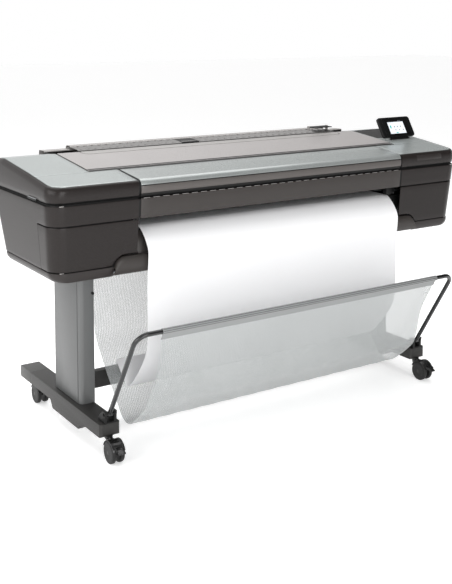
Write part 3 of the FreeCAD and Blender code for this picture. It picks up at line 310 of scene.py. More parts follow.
class Nodes:
    """A short way to write a material's node tree."""

    def __init__(self, name):
        self.material = bpy.data.materials.new(name)
        self.material.use_nodes = True
        self.tree = self.material.node_tree
        self.shader = self.tree.nodes["Principled BSDF"]
        self.output = self.tree.nodes["Material Output"]
        self.coordinates = self.add("ShaderNodeTexCoord")

    def add(self, kind, **settings):
        node = self.tree.nodes.new(kind)
        for key, value in settings.items():
            setattr(node, key, value)
        return node

    def link(self, source, target):
        self.tree.links.new(source, target)

    def noise(self, scale, detail=3.0, stretch=(1, 1, 1)):
        mapping = set_inputs(self.add("ShaderNodeMapping"), {"Scale": stretch})
        self.link(self.coordinates.outputs["Object"], mapping.inputs["Vector"])
        node = set_inputs(self.add("ShaderNodeTexNoise"), {"Scale": scale, "Detail": detail})
        self.link(mapping.outputs["Vector"], node.inputs["Vector"])
        return node.outputs["Fac"]

    def between(self, factor, low, high, start=0.35, end=0.65):
        """A number that follows the factor from low to high."""
        node = set_inputs(self.add("ShaderNodeMapRange"), {
            "From Min": start, "From Max": end, "To Min": low, "To Max": high})
        self.link(factor, node.inputs["Value"])
        return node.outputs["Result"]

    def tint(self, factor, dark, light):
        """Colour the surface from dark to light with the factor."""
        node = set_inputs(self.add("ShaderNodeMix", data_type="RGBA"), {"A": dark, "B": light})
        self.link(factor, node.inputs["Factor"])
        self.link(node.outputs["Result"], self.shader.inputs["Base Color"])

    def maths(self, operation, first, second):
        """Two numbers or outputs, put together."""
        node = self.add("ShaderNodeMath", operation=operation)
        for socket, value in zip(node.inputs, (first, second)):
            if isinstance(value, (int, float)):
                socket.default_value = value
            else:
                self.link(value, socket)
        return node.outputs[0]

    def bump(self, height, distance, strength=0.5):
        node = set_inputs(self.add("ShaderNodeBump"), {"Strength": strength, "Distance": distance})
        self.link(height, node.inputs["Height"])
        self.link(node.outputs["Normal"], self.shader.inputs["Normal"])


def shade(colour, factor):
    return tuple(c * factor for c in colour[:3]) + (1.0,)


def moulded(name, colour, rough, grain=900, depth=0.00012, drift=0.06, metal=0.0, specular=0.5,
            stretch=(1, 1, 1)):
    """Moulded or painted surface: fine grain, slow colour drift, uneven gloss."""
    n = Nodes(name)
    fine = n.noise(grain, 4.0, stretch)
    n.tint(n.noise(7.0, 2.0), shade(colour, 1 - drift), shade(colour, 1 + drift))
    n.link(n.between(fine, rough - 0.05, rough + 0.05), n.shader.inputs["Roughness"])
    set_inputs(n.shader, {"Metallic": metal, "Specular IOR Level": specular})
    n.bump(fine, depth)
    return n.material


def cloth_mesh(name, colour, pitch=0.0024, thread=0.09, clear=1.0):
    """Open woven mesh: slanted threads both ways with clear holes between them."""
    n = Nodes(name)
    turn = set_inputs(n.add("ShaderNodeMapping"), {"Rotation": (0, 0, math.radians(28))})
    n.link(n.coordinates.outputs["UV"], turn.inputs["Vector"])
    split = n.add("ShaderNodeSeparateXYZ")
    n.link(turn.outputs["Vector"], split.inputs["Vector"])
    across, along = split.outputs["X"], split.outputs["Y"]
    sides = []
    for way in (across, along):
        wave = n.maths("PINGPONG", way, pitch / 2)
        sides.append(n.between(wave, 0.0, 1.0, thread * pitch, (thread + 0.1) * pitch))
    row = n.maths("PINGPONG", n.maths("ADD", across, n.maths("MULTIPLY", along, 0.4)), 0.0035)
    hole = n.maths("MULTIPLY", *sides)
    hole = n.maths("MULTIPLY", hole, n.between(row, 0.8, 1.0, 0.0008, 0.0024))
    n.tint(n.noise(5.0, 2.0), shade(colour, 0.95), shade(colour, 1.03))
    set_inputs(n.shader, {"Roughness": 0.8, "Sheen Weight": 0.2})
    n.link(n.maths("SUBTRACT", 1.0, n.maths("MULTIPLY", hole, clear)), n.shader.inputs["Alpha"])
    n.bump(hole, -0.0003)
    return n.material


def plain_paper(name, colour):
    """Coated paper that lets a little light through."""
    n = Nodes(name)
    n.tint(n.noise(3.0, 2.0), shade(colour, 0.985), colour)
    set_inputs(n.shader, {"Roughness": 0.75})
    through = set_inputs(n.add("ShaderNodeBsdfTranslucent"), {"Color": colour})
    mix = set_inputs(n.add("ShaderNodeMixShader"), {"Fac": 0.2})
    n.link(n.shader.outputs["BSDF"], mix.inputs[1])
    n.link(through.outputs["BSDF"], mix.inputs[2])
    n.link(mix.outputs["Shader"], n.output.inputs["Surface"])
    n.bump(n.noise(420, 5.0), 0.00004, 0.3)
    return n.material


def glow(name, colour, strength):
    """A lit part of the screen, with a faint grain."""
    n = Nodes(name)
    n.tint(n.noise(900, 1.0), shade(colour, 0.94), colour)
    set_inputs(n.shader, {"Emission Color": colour, "Emission Strength": strength, "Roughness": 0.25})
    return n.material


CASING = moulded("casing_taupe", srgb(34, 30, 29), 0.3, drift=0.05, specular=0.2)
CASING_LOW = moulded("casing_low", srgb(42, 38, 37), 0.36, drift=0.05, specular=0.26)
SILVER = moulded("casing_silver", srgb(156, 161, 160), 0.28, metal=0.5, depth=0.00004)
WINDOW = moulded("window_silver", srgb(142, 146, 145), 0.3, metal=0.35, depth=0.00004)
ROLL_LID = moulded("roll_lid", srgb(152, 148, 147), 0.32, metal=0.2, depth=0.00004)
BAND = moulded("window_band", srgb(86, 82, 80), 0.36, metal=0.2, specular=0.3)
FASCIA = moulded("fascia_grey", srgb(50, 46, 44), 0.42, specular=0.35)
HOOD = moulded("hood_grey", srgb(104, 102, 101), 0.42, specular=0.4)
STRIP = moulded("hood_strip", srgb(150, 147, 145), 0.35, metal=0.2)
BLACK = moulded("black_moulding", srgb(15, 15, 15), 0.5, specular=0.25)
DISPLAY = moulded("display_black", srgb(9, 9, 10), 0.3, depth=0.00003, specular=0.3)
STAND = moulded("stand_paint", srgb(42, 41, 40), 0.5, grain=1600, depth=0.0002, specular=0.3)
STAND_SIDE = moulded("stand_cover", srgb(84, 85, 85), 0.42, grain=1600, depth=0.00015)
STAND_EDGE = moulded("stand_column", srgb(88, 89, 89), 0.34, grain=1600, depth=0.00012)
FOOT_CAP = moulded("foot_cap", srgb(72, 72, 71), 0.5, specular=0.3)
CASTER = moulded("caster_hood", srgb(13, 13, 13), 0.26, specular=0.5)
TYRE = moulded("caster_tyre", srgb(15, 15, 15), 0.5, grain=500, specular=0.35)
HUB = moulded("caster_hub", srgb(30, 30, 30), 0.4, specular=0.4)
ROD = moulded("bin_rod", srgb(16, 17, 18), 0.16, depth=0.00002, specular=0.6)
ZINC = moulded("pan_zinc", srgb(150, 152, 154), 0.38, metal=0.8, stretch=(0.05, 1, 1))
STEEL = moulded("ground_steel", srgb(180, 180, 180), 0.25, metal=1.0, stretch=(0.02, 1, 1))
RUBBER = moulded("black_rubber", srgb(20, 20, 20), 0.7)
ROLLER = moulded("feed_grit", srgb(92, 92, 92), 0.6, grain=2500, depth=0.0003)
CARTRIDGE = moulded("cartridge", srgb(52, 52, 54), 0.4)
CLOTH = cloth_mesh("bin_mesh", srgb(176, 179, 179))
HEM = cloth_mesh("bin_hem", srgb(128, 130, 130), clear=0.15)
HEM_SEAM = moulded("hem_seam", srgb(62, 64, 64), 0.8, depth=0.0001)
PAPER = plain_paper("coated_paper", srgb(247, 247, 248))
SCREEN_LIT = glow("screen_lit", srgb(206, 211, 218), 0.5)
SCREEN_TEAL = glow("screen_teal", srgb(40, 170, 160), 0.3)
SCREEN_GREY = glow("screen_grey", srgb(128, 136, 144), 0.15)
SCREEN_GLASS = moulded("screen_glass", srgb(8, 8, 9), 0.12, depth=0.00001, specular=0.4)


# ---------------------------------------------------------------- casing
def crest(yf):
    """Height of the casing's top over the depth."""
    return interpolate(CREST, yf)


def end_plan(sign, x_front, x_rear, front, outer, rear, r_front, r_rear, start=0.0):
    """An end's outline from its inner front edge round to its inner rear edge.

    start > 0 leaves out what lies further forward than that on the side.
    """
    points = []
    if start <= 0:
        points += [(x, front) for x in spread(x_front, outer - r_front, 14)[:-1]]
        points += arc(outer - r_front, front + r_front, r_front, -90, 15)
    side_from = max(start, front + r_front)
    points += [(outer, y) for y in spread(side_from, rear - r_rear, 34)[(0 if start > 0 else 1):-1]]
    points += arc(outer - r_rear, rear - r_rear, r_rear, 0)
    points += [(x, rear) for x in spread(outer - r_rear, x_rear, 8)[1:]]
    return [(sign * x, y) for x, y in points]


# Each ring: how far it lies inside the outline, then its height or its drop below the crest.
UPPER_RINGS = [
    (10, 869.5, None), (9, 871.5, None), (4.4, 877, None), (2.4, 883, None), (1, 888.5, None), (0, 894, None),
    (0, None, 22.5), (0.7, None, 15.5), (3.2, None, 9.0), (6.8, None, 4.2), (10.2, None, 1.6),
    (12.6, None, 0.9), (13.4, None, 1.4), (13.7, None, 3.2), (15, None, 3.4), (60, None, 3.4),
]
TRAY = ((699, 862), (272, 446))


def open_tray(panel):
    """Take the display's folding tray out of the right inlay and dish it in black."""
    (x0, x1), (y0, y1) = TRAY
    low, high = place(x0, y0, 0), place(x1, y1, 0)

    def cut(work):
        for point, normal in ((low, (1, 0, 0)), (high, (1, 0, 0)), (low, (0, 1, 0)), (high, (0, 1, 0))):
            bmesh.ops.bisect_plane(work, geom=work.verts[:] + work.edges[:] + work.faces[:],
                                   plane_co=point, plane_no=normal, dist=1e-6)
        middles = [(face, face.calc_center_median()) for face in work.faces]
        inside = [face for face, at in middles if low.x < at.x < high.x and low.y < at.y < high.y]
        bmesh.ops.delete(work, geom=inside, context="FACES")

    edit(panel.data, cut)
    rows = [[(x, y, crest(y) - (2.9 if x0 < x < x1 and y0 < y < y1 else 0.6))
             for x in (x0, x0 + 3, *spread(x0 + 12, x1 - 12, 8), x1 - 3, x1)]
            for y in (y0, y0 + 3, *spread(y0 + 12, y1 - 12, 8), y1 - 3, y1)]
    finish(bake(grid("display_tray", rows)), "root", BLACK)


def make_end_cover(side, sign):
    """The upper shell of an end, with its undercut coloured black as painted shade."""
    rows = []
    for inset, height, drop in UPPER_RINGS:
        plan = end_plan(sign, SEAM + 1.6, 692, inset, BODY_HALF - inset, DEPTH - inset,
                        max(CORNER_FRONT - inset, 8), max(CORNER_REAR - inset, 8))
        rows.append([(x, y, height if drop is None else crest(y) - drop) for x, y in plan])
    # The first three rings, the tucked-in lower edge, are coloured black as painted shade.
    finish(skin(f"{side}_undercut_shade", rows[:3], 2.0, flip=sign < 0), "root", BLACK)
    shell = skin(f"{side}_end_cover_piece", rows[2:], WALL, 0.5, 1, 50, flip=sign < 0)
    finish(shell, "root", CASING, f"{side}_end_cover")


def make_inlay(side, sign):
    """The light panels let into an end's top, in front of and behind the lid's step."""
    panels = []
    ahead = [INLAY_IN + 41 * (1 - math.cos(math.pi / 2 * i / 12)) for i in range(12)]
    for part, stations, x_near in (("front", ahead + spread(CORNER_FRONT, 155.8, 12), SEAM + 2.6),
                                   ("rear", spread(157.8, 497, 40), 694)):
        rows = []
        for y in stations:
            edge = BODY_HALF - INLAY_IN - corner_drop(CORNER_FRONT - y, CORNER_FRONT - INLAY_IN)
            edge -= corner_drop(y - (DEPTH - CORNER_REAR), CORNER_REAR - INLAY_IN)
            rise = 0.25 - (0.9 if y < 16.5 else 0.0)
            rows.append([(sign * x, y, crest(y) + rise) for x in spread(x_near, edge, 12)])
        panel = grid(f"{side}_inlay_{part}", rows, flip=sign < 0)
        if sign > 0 and part == "rear":
            open_tray(panel)
        solid(panel, 1.6)
        bevel(panel, 0.5, 2, angle=40)
        panels.append(bake(panel))
    nodes = ("top_inlays",) if sign < 0 else ()
    finish(join(f"{side}_top_inlay", panels), "root", SILVER, *nodes)


def make_seam_glints(side, sign):
    """Small light blocks at an end's two seams: painted glints where the seam corners catch the light."""
    glints = []
    for label, x, y, z in (("high", 862, 2.4, 867.3), ("low", 854, 26.2, 646.2)):
        glints.append(box_piece(f"{side}_glint_{label}", side_span(sign, x - 7, x + 7),
                               (y - 1, y + 3), (z - 1.1, z + 1.1), 0.4))
    # The light blocks are painted glints.
    finish(join(f"{side}_seam_glints", glints), "root", STRIP)


def make_blank_plate():
    """A plain plate on the right end's front."""
    plate = strip("blank_plate", spread(666, 801, 4), [(-0.3, 897), (-0.3, 905), (0.4, 912), (2.8, 918.3)],
                  0.6, 0.2, flip=True)
    finish(plate, "root", CASING_LOW)


def lower_plan(sign, z, extra=0.0, x_front=SEAM, start=0.0):
    """The outline of an end below the seam, drawn in as it goes down."""
    drop = LINE_A - z
    return end_plan(sign, x_front, SEAM, 0.09 * drop + extra,
                    BODY_HALF - 0.07 * drop - extra, 528 - 0.3 * (drop - 14) - extra,
                    CORNER_FRONT - extra, CORNER_REAR - extra, start)


GUIDE_END, GUIDE_ROUND, GUIDE_TOP = 670.0, 38.0, 677.0


def guide_edge(x, end, top):
    """Height of the output guide's rounded outline at a distance x from the middle."""
    return top - corner_drop(abs(x) - (end - GUIDE_ROUND), GUIDE_ROUND)


DOOR_TOP, DOOR_LOW, DOOR_REAR = 796.2, 648.4, 118.6


def make_side_panel(side, sign):
    """An end's lower shell: a band all round and the flank behind the door."""
    rows = []
    for z, extra in ((866, 1.2), (865, 0.3), (863.6, 0), (845, 0), (820, 0), (802.4, 0), (801, 0.3),
                     (800.2, 1.2)):
        plain, eased = (lower_plan(sign, z, inset, SEAM + 1.6) for inset in (0.0, extra))
        over_flank = [z < 802 and y > 119 for _, y in plain]
        rows.append([(*(p if flank else e), z) for p, e, flank in zip(plain, eased, over_flank)])
    upper = skin(f"{side}_band", rows, WALL, flip=sign > 0)
    low_rings = [(800.2, 0), (780, 0), (740, 0), (700, 0), (660, 0), (648.8, 0), (647.6, 0.3), (647, 1.2)]
    rows = [[(x, y, z) for x, y in lower_plan(sign, z, extra, start=120)] for z, extra in low_rings]
    lower = skin(f"{side}_flank", rows, WALL, flip=sign > 0)
    finish(join(f"{side}_side_panel_piece", [upper, lower]), "root", CASING, f"{side}_side_panel")


def make_ink_door(side, sign):
    """The door round an end's front corner, cut out below for the output guide."""
    turned, last, end = 28, 37, GUIDE_END + 5
    rows = []
    for share, extra in ((0, 1.2), (0.01, 0.3), (0.02, 0), (0.2, 0), (0.45, 0), (0.7, 0), (0.85, 0),
                         (0.98, 0), (0.99, 0.3), (1, 1.2)):
        row = []
        for index, (x, _) in enumerate(lower_plan(sign, DOOR_TOP, extra, SEAM + 2)[:last + 1]):
            low = max(guide_edge(x, end, GUIDE_TOP + 6), DOOR_LOW) if abs(x) < end else DOOR_LOW
            z = DOOR_TOP + (low - DOOR_TOP) * share
            plan = lower_plan(sign, z, extra, SEAM + 2)
            x_here, y_here = plan[index]
            if index > turned:
                y_here = interpolate([(turned, plan[turned][1]), (last, DOOR_REAR)], index)
            row.append((x_here, y_here, z))
        rows.append(row)
    door = skin(f"{side}_ink_door_piece", rows, WALL, flip=sign > 0)
    finish(door, f"{side}_door", CASING, f"{side}_ink_door")


def make_bottom_cap(side, sign):
    """The rounded cap under an end."""
    rows = []
    for z, inset in ((645.2, 1.6), (644.6, 0.4), (643.2, 0), (636, 0.5), (629, 2.6), (622, 7.5),
                     (616.5, 14.5), (613, 22), (611.3, 30), (FLOOR_Z, 38), (FLOOR_Z, 60)):
        plan = end_plan(sign, GUIDE_END + 3, GUIDE_END + 3, 20 + 0.35 * inset, 885.4 - inset,
                        461 - 1.1 * inset, max(49 - 0.5 * inset, 18), max(38 - 0.5 * inset, 14))
        rows.append([(x, y, z) for x, y in plan])
    cap = skin(f"{side}_bottom_cap_piece", rows, WALL, flip=sign > 0)
    finish(cap, "root", CASING_LOW, *(("bottom_caps",) if sign < 0 else ()))


# ---------------------------------------------------------------- window and lid
# The middle's half width between the end seams, its walls, and the hinge barrels' distance out.
CENTRE_HALF, FRONT_WALL, LID_WALL, BARREL_X = SEAM - 6.2, 2.6, 2.8, 540


def make_hinge_barrels(body, half):
    """Two barrels on a cover's hinge line."""
    _, y, z = joint_place(f"{body}_hinge")
    for side, sign in SIDES:
        profile = pin_profile(half, 4, 0.6, 0.6)
        finish(lathe(f"{body}_barrel_{side}", (sign * BARREL_X, y, z), "x", profile, 20), body, BLACK)


def make_window():
    """The front cover: silver top and grey band, with the undercut coloured black as painted shade, over a
    dark inner wall that is black as painted shade behind its gaps.
    """
    xs = spread(-CENTRE_HALF, CENTRE_HALF, 30)
    top = strip("window_top", xs, [
        (1.2, 910.8), (1.9, 913.6), (3.4, 917.6), (5.8, 921.4), (8.9, 924.5), (12.6, 926.5), (17, 927.8),
        (24, 928.6), (51, 931.6), (100, 936.8), (152, 942.4)], FRONT_WALL, flip=True)
    finish(top, "window", WINDOW, "window_cover")
    band = strip("window_band", xs, [
        (3.2, 884), (1.0, 888.5), (0.3, 893), (0.3, 901), (0.7, 908.2)], FRONT_WALL, flip=True)
    finish(band, "window", BAND)
    # The undercut is coloured black as painted shade.
    under_shade = strip("window_undercut_shade", xs, [(11, 869.6), (9.6, 871), (5.6, 879), (3.3, 883.8)], FRONT_WALL,
                  flip=True)
    finish(under_shade, "window", BLACK)
    # The inner wall is black as painted shade behind the gaps.
    liner = strip("window_liner", spread(6 - CENTRE_HALF, CENTRE_HALF - 6, 4), [
        (16, 872), (8, 886), (4.4, 900), (4.6, 912), (12, 919), (24, 924), (60, 929), (146, 937.6),
    ], 1.5, flip=True)
    finish(liner, "window", BLACK)
    make_hinge_barrels("window", 25)


def make_fascia():
    """The strip under the window and the row of small teeth along its top."""
    teeth = [box_piece(f"tooth_{i}", (x - 12, x + 12), (1.0, 3.4), (866.8, 868.1), 0.3)
             for i, x in enumerate(spread(22 - CENTRE_HALF, CENTRE_HALF - 22, 31))]
    finish(join("fascia_teeth", teeth), "root", STRIP)
    fascia = strip("front_fascia_piece", spread(-CENTRE_HALF, CENTRE_HALF, 30), [
        (1.5, 867.0), (0.6, 866.2), (0.3, 864.8), (3.2, 832), (5.8, 803), (6.1, 800.4), (7.2, 799.2),
        (10, 799), (33, 799)], FRONT_WALL, flip=True)
    finish(fascia, "root", FASCIA, "front_fascia")


LID_HALF, LID_FRONT, LID_REAR, LID_CORNER = 688.6, 160.3, 432.0, 14
GROOVE_X, GROOVE_Y, GROOVE_ROUND = 602.0, 386.0, 26.0


def lid_height(y):
    """Height of the lid's top over the depth."""
    return interpolate([
        (LID_FRONT, 937), (160.7, 940.6), (162, 943.0), (165, 945.0), (170, 946.9), (178, 949.0),
        (215, 953.7), (300, 962.7), (402, 973.4), (LID_REAR, 976.6)], y)


def lid_reach(y):
    """Half the lid's width at a depth, with its rounded front corners."""
    return LID_HALF - corner_drop(LID_FRONT + LID_CORNER - y, LID_CORNER)


def groove_front(x, half, front):
    """The rounded front edge of the raised rear panel at a distance x from the middle."""
    return front + corner_drop(abs(x) - (half - GROOVE_ROUND), GROOVE_ROUND)


def groove_bend(half):
    """Stations along x round one of the groove's corners."""
    return [half - GROOVE_ROUND + GROOVE_ROUND * math.sin(math.pi / 2 * i / 8) for i in range(9)]


def make_lid_plate(xs):
    """The roll cover's front lip and main plate."""
    rows = [[(x * lid_reach(y) / LID_HALF, y, lid_height(y)) for x in xs]
            for y in (LID_FRONT, 160.7, 162, 165, 170, 174.5)]
    for share in spread(0, 1, 24):
        row = []
        for x in xs:
            rear = LID_REAR if abs(x) > GROOVE_X + 0.1 else groove_front(x, GROOVE_X, GROOVE_Y)
            y = 178 + (rear - 178) * share
            row.append((x, y, lid_height(y)))
        rows.append(row)
    finish(skin("roll_cover_piece", rows, LID_WALL, 0.8, 2, 35), "lid", ROLL_LID, "roll_cover")


def make_lid_shade_lines():
    """The two dark lines along the lid's front: painted shadow under its lip and painted shade in the gap at
    its step.
    """
    shade_lines = []
    for label, depths in (("lip", (160.6, 162, 165, 168, 173)), ("step", (176.4, 180, 185))):
        rows = [[(x, y, lid_height(y) + 0.35) for x in spread(0.4 - lid_reach(y), lid_reach(y) - 0.4, 40)]
                for y in depths]
        shade_lines.append(skin(f"lid_{label}_line", rows, 0.5))
    # Black strips as painted shadow and painted shade along the lid's front.
    finish(join("lid_front_shade_lines", shade_lines), "lid", BLACK)


def make_lid_panel(xs):
    """The raised panel at the lid's rear, and the groove round it floored in black as painted shade."""
    half = GROOVE_X - 3
    bends = groove_bend(half)
    inner = [-x for x in reversed(bends)] + [x for x in xs if abs(x) < half - GROOVE_ROUND] + bends
    rows = []
    for share in spread(0, 1, 8):
        row = []
        for x in inner:
            y = groove_front(x, half, GROOVE_Y + 3.2)
            y += (LID_REAR - y) * share
            row.append((x, y, lid_height(y) + 0.4))
        rows.append(row)
    finish(skin("lid_rear_panel", rows, LID_WALL, 0.6, 2, 35), "lid", STRIP)
    # The groove's floor is black as painted shade.
    floor = [[(x, y, lid_height(y) - 3.2) for x in spread(-GROOVE_X - 6, GROOVE_X + 6, 12)]
             for y in (GROOVE_Y - 8, GROOVE_Y + 28)]
    finish(skin("lid_groove_shade_floor", floor, 1.0), "lid", BLACK)


def make_lid():
    """The roll cover, from one row of stations along x."""
    bends = groove_bend(GROOVE_X)
    right = spread(20, bends[0] - 20, 16) + bends + [GROOVE_X + 0.2, 618, 640, 660, 675, 684, LID_HALF]
    xs = [-x for x in reversed(right)] + [0.0] + right
    make_lid_plate(xs)
    make_lid_shade_lines()
    make_lid_panel(xs)
    make_hinge_barrels("lid", 30)


# ---------------------------------------------------------------- rear
HOOD_HALF, RIB_PITCH, RECESS = 600.0, 30, (-160.0, -84.0)
RIBBED = [(441.4, 977.2), (441.4, 979.0), (443, 979.8), (447, 980.4), (450, 980.8), (462, 981.8),
          (480, 982.8), (500, 983.6), (514, 984.0), (516, 983.0)]


def rib(x):
    """Height of the hood's ribs: a rounded ridge at every pitch, 3 mm high."""
    share = (x / RIB_PITCH) % 1.0
    return 3.0 * max(0.0, math.sin(math.pi * min(1.0, share / 0.72))) ** 0.7


def make_hood():
    """The ribbed rear hood; its crown in a light colour as a painted highlight, and dark strips between its
    ribs as painted shade.
    """
    stations = [-HOOD_HALF + RIB_PITCH * i + step
                for i in range(40) for step in (0, 3.5, 8, 12, 16.5, 21, 24.5)]
    stations.append(HOOD_HALF)
    parts = []
    for label, xs in (("left", [x for x in stations if x < RECESS[0]] + [RECESS[0]]),
                      ("right", [RECESS[1]] + [x for x in stations if x > RECESS[1]])):
        rows = [[(x, y, z + (rib(x) if 450 <= y <= 514 else 0)) for x in xs] for y, z in RIBBED]
        parts.append(skin(f"hood_{label}", rows, 2.4, smooth=50))
    finish(join("rear_hood_piece", parts), "root", HOOD, "rear_cover")
    # The crown is given the light strip colour as a painted highlight.
    crown_highlight = strip("hood_crown_highlight", spread(-HOOD_HALF, HOOD_HALF, 40), [
        (515, 983.4), (516, 985.6), (520, 986.6), (536, 987.4), (542, 987.2), (548, 986.2), (552.6, 983.8),
        (553.8, 981), (553.8, 977.5)], 2.4, flip=True)
    finish(crown_highlight, "root", STRIP)
    # Dark strips between the ribs: painted shade.
    rib_shades = []
    for i in range(-20, 20):
        middle = RIB_PITCH * i + RIB_PITCH / 2
        if abs(middle) > HOOD_HALF - 20 or RECESS[0] - 12 < middle < RECESS[1] + 12:
            continue
        rows = [[(middle + x, y, interpolate(RIBBED, y) + 0.25) for x in (-4.5, 0, 4.5)]
                for y in spread(452, 511, 6)]
        rib_shades.append(grid(f"hood_rib_shade_{i}", rows))
    finish(join("hood_rib_shades", rib_shades), "root", CASING_LOW)


def make_hood_recess():
    """The black recess in the hood and its catch."""
    well = strip("hood_well", spread(RECESS[0] - 1, RECESS[1] + 1, 6), [
        (442, 976.4), (442, 979.4), (446, 980), (470, 981), (500, 982.6), (515, 983.2)], 2.0, flip=True)
    finish(well, "root", BLACK)
    catch = box_piece("hood_catch", (RECESS[0] + 6, RECESS[1] - 2), (456, 462), (980.2, 983.0), 0.6)
    finish(catch, "root", STRIP)


def make_rear_box():
    """The box behind the hood; its top in a light colour, partly its own silver finish and partly a painted
    highlight.
    """
    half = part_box("rear_cover")[1].x / MM
    xs = spread(3 - half, half - 3, 40)
    # The top gets the light strip colour: partly its own finish, partly a painted highlight.
    top = strip("rear_box_top_highlight", xs, [(514.8, 972), (514.8, 974.5), (515.6, 976.4), (518, 977), (556, 977),
                                     (559, 976), (560, 973), (560, 971)], FRONT_WALL)
    finish(top, "root", STRIP)
    box = [strip("rear_box_skin", xs, [(560, 970.6), (560, 872), (558, 870), (520, 870)], FRONT_WALL)]
    for side, sign in SIDES:
        box.append(box_piece(f"rear_box_end_{side}", side_span(sign, half - 5, half),
                             (514.6, 560), (870.2, 977), 2.4))
    finish(join("rear_box_piece", box), "root", FASCIA)


def make_lever():
    """The release lever between its two lugs."""
    lugs = [box_piece(f"lever_lug_{low}", (low, low + 5), (478, 492), (983.5, 1003.6), 1.6)
            for low in (494, 593)]
    finish(join("lever_lugs", lugs), "root", STRIP)
    softened("release_lever", "release_lever", BLACK, 0.8)


def make_rear_panel():
    """The sloping rear panel and its two rows of vents."""
    softened("rear_panel", "root", FASCIA, 0.8)
    rise, lean = 198, 66
    turn = Matrix.Rotation(-math.atan2(lean, rise), 4, "X")
    vents = []
    for x in range(120, 120 + 22 * 14, 14):
        for level in (700, 760):
            y = 461 + lean * (level - LINE_C) / rise
            vent = box_piece(f"vent_{x}_{level}", (x, x + 7), (y - 1.4, y + 0.8), (level - 22, level + 22), 0)
            centre = sum((v.co for v in vent.data.vertices), Vector()) / len(vent.data.vertices)
            vent.data.transform(Matrix.Translation(centre) @ turn @ Matrix.Translation(-centre))
            vents.append(vent)
    finish(join("rear_vents", vents), "root", BLACK)


# ---------------------------------------------------------------- output guide
def guide_lip():
    """The output guide's rounded lower lip, flared at its bottom corners."""
    bend = GUIDE_END - GUIDE_ROUND
    xs = spread(-GUIDE_END, -bend, 12)[:-1] + spread(-bend, bend, 30) + spread(bend, GUIDE_END, 12)[1:]
    rows = []
    for share, y in ((0.0, 14.5), (0.12, 9.6), (0.3, 7.0), (0.5, 6.2), (0.66, 6.6), (0.82, 8.6), (0.93, 11.6),
                     (0.985, 15.5), (1.0, 20)):
        row = []
        for x in xs:
            z = 618 + (guide_edge(x, GUIDE_END, GUIDE_TOP) - 618) * share
            flare = 15 * max(0.0, (LINE_C - z) / 28) ** 2 * max(0.0, (abs(x) - GUIDE_END + 60) / 60)
            row.append((x + math.copysign(flare, x), y, z))
        rows.append(row)
    rows.append([(x, 29.6, guide_edge(x, GUIDE_END, GUIDE_TOP)) for x in xs])
    return skin("guide_lip", rows, 2.4)


def make_bottom():
    """The output guide, with its ribs, and the bottom pan."""
    span = SEAM - 6
    upper = strip("guide_upper", spread(-span, span, 40), [
        (27, 676), (29.4, 679), (31.6, 690), (36.2, 710), (43, 725.5), (52, 737.6), (57, 742.4),
        (63.6, 747.4)], 2.2)
    ribs = [strip(f"guide_rib_{i}", (x - 1.5, x + 1.5), [
        (29.4, 684), (33.0, 697), (37, 710), (43.8, 724), (52, 735.6), (60, 743.4)], 1.4, 0)
        for i, x in enumerate(spread(24 - span, span - 24, 47))]
    finish(join("output_guide_piece", [guide_lip(), upper, *ribs]), "root", FASCIA, "output_guide")
    softened("bottom_pan", "root", ZINC, 0.8)


# ---------------------------------------------------------------- display
DISPLAY_TILT = Matrix.Rotation(math.radians(-31), 4, "X")
DISPLAY_HIGH, DISPLAY_THICK, DISPLAY_MID = 92.0, 14.0, 52


def slab(name, w, h, u, v, t, corner, front, edge=1.2):
    """A rounded plate: w by h about (u, v) up the display, t thick behind its front."""
    a, b = w / 2 - corner, h / 2 - corner
    outline = [p for cx, cy, start in ((a, b, 0), (-a, b, 90), (-a, -b, 180), (a, -b, 270))
               for p in arc(cx, cy, corner, start, 7)]
    count = len(outline)
    points = [(u + across, y, v + up) for y in (front, front + t) for across, up in outline]
    faces = [tuple(range(count)), tuple(range(2 * count - 1, count - 1, -1))]
    faces += [(i, i + count, (i + 1) % count + count, (i + 1) % count) for i in range(count)]
    thing = new_object(name, points, faces)
    pivot = place(*joint_place("display_tilt"))
    thing.data.transform(Matrix.Translation(pivot) @ DISPLAY_TILT @ Matrix.Translation(-place(0, 0, 0)))
    edit(thing.data, face_outwards)
    if edge:
        bevel(thing, edge, 3, angle=40)
    return bake(thing)


def make_display():
    """The touch display: a rounded slab on its pin, its lit screen and plain icons."""
    low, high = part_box("display_housing")
    face = -DISPLAY_THICK / 2
    width = (high.x - low.x) / MM
    body = slab("display_body", width, DISPLAY_HIGH, 0, DISPLAY_MID, DISPLAY_THICK, 11, face, 3.0)
    neck = slab("display_neck", 96, 16, 0, 8, 6, 2, -3, 0.8)
    pin = lathe("display_pin", joint_place("display_tilt"), "x", [
        (-56, 0.01), (-56, 2.5), (-50, 2.5), (-50, 4), (50, 4), (50, 2.5), (56, 2.5), (56, 0.01)], 24)
    finish(join("display_case_piece", [body, neck, pin]), "display", DISPLAY, "display_housing")
    pane = slab("screen_pane", 138, 76, 0, DISPLAY_MID, 0.8, 4, face - 0.35, 0.2)
    finish(pane, "display", SCREEN_GLASS, "display_screen")
    finish(slab("screen_page", 88, 54, 0, 47, 0.4, 1.5, face - 0.6, 0), "display", SCREEN_LIT)
    icons = []
    for i in range(3):
        icons.append(slab(f"icon_{i}", 6, 6, -12 + 17 * i, 52, 0.3, 2.5, face - 0.75, 0))
        icons.append(slab(f"icon_low_{i}", 5, 5, -10 + 21 * i, 37, 0.3, 2, face - 0.75, 0))
    icons += [slab(f"icon_bar_{i}", 4, 3, 20 + 8 * i, 79, 0.3, 1, face - 0.6, 0) for i in range(2)]
    finish(join("screen_icons", icons), "display", SCREEN_GREY)
    tiles = [slab("tile_side", 7, 14, -33, 52, 0.3, 3, face - 0.75, 0),
             slab("tile_low", 12, 4, -6, 24, 0.3, 1.5, face - 0.75, 0)]
    finish(join("screen_tiles", tiles), "display", SCREEN_TEAL)


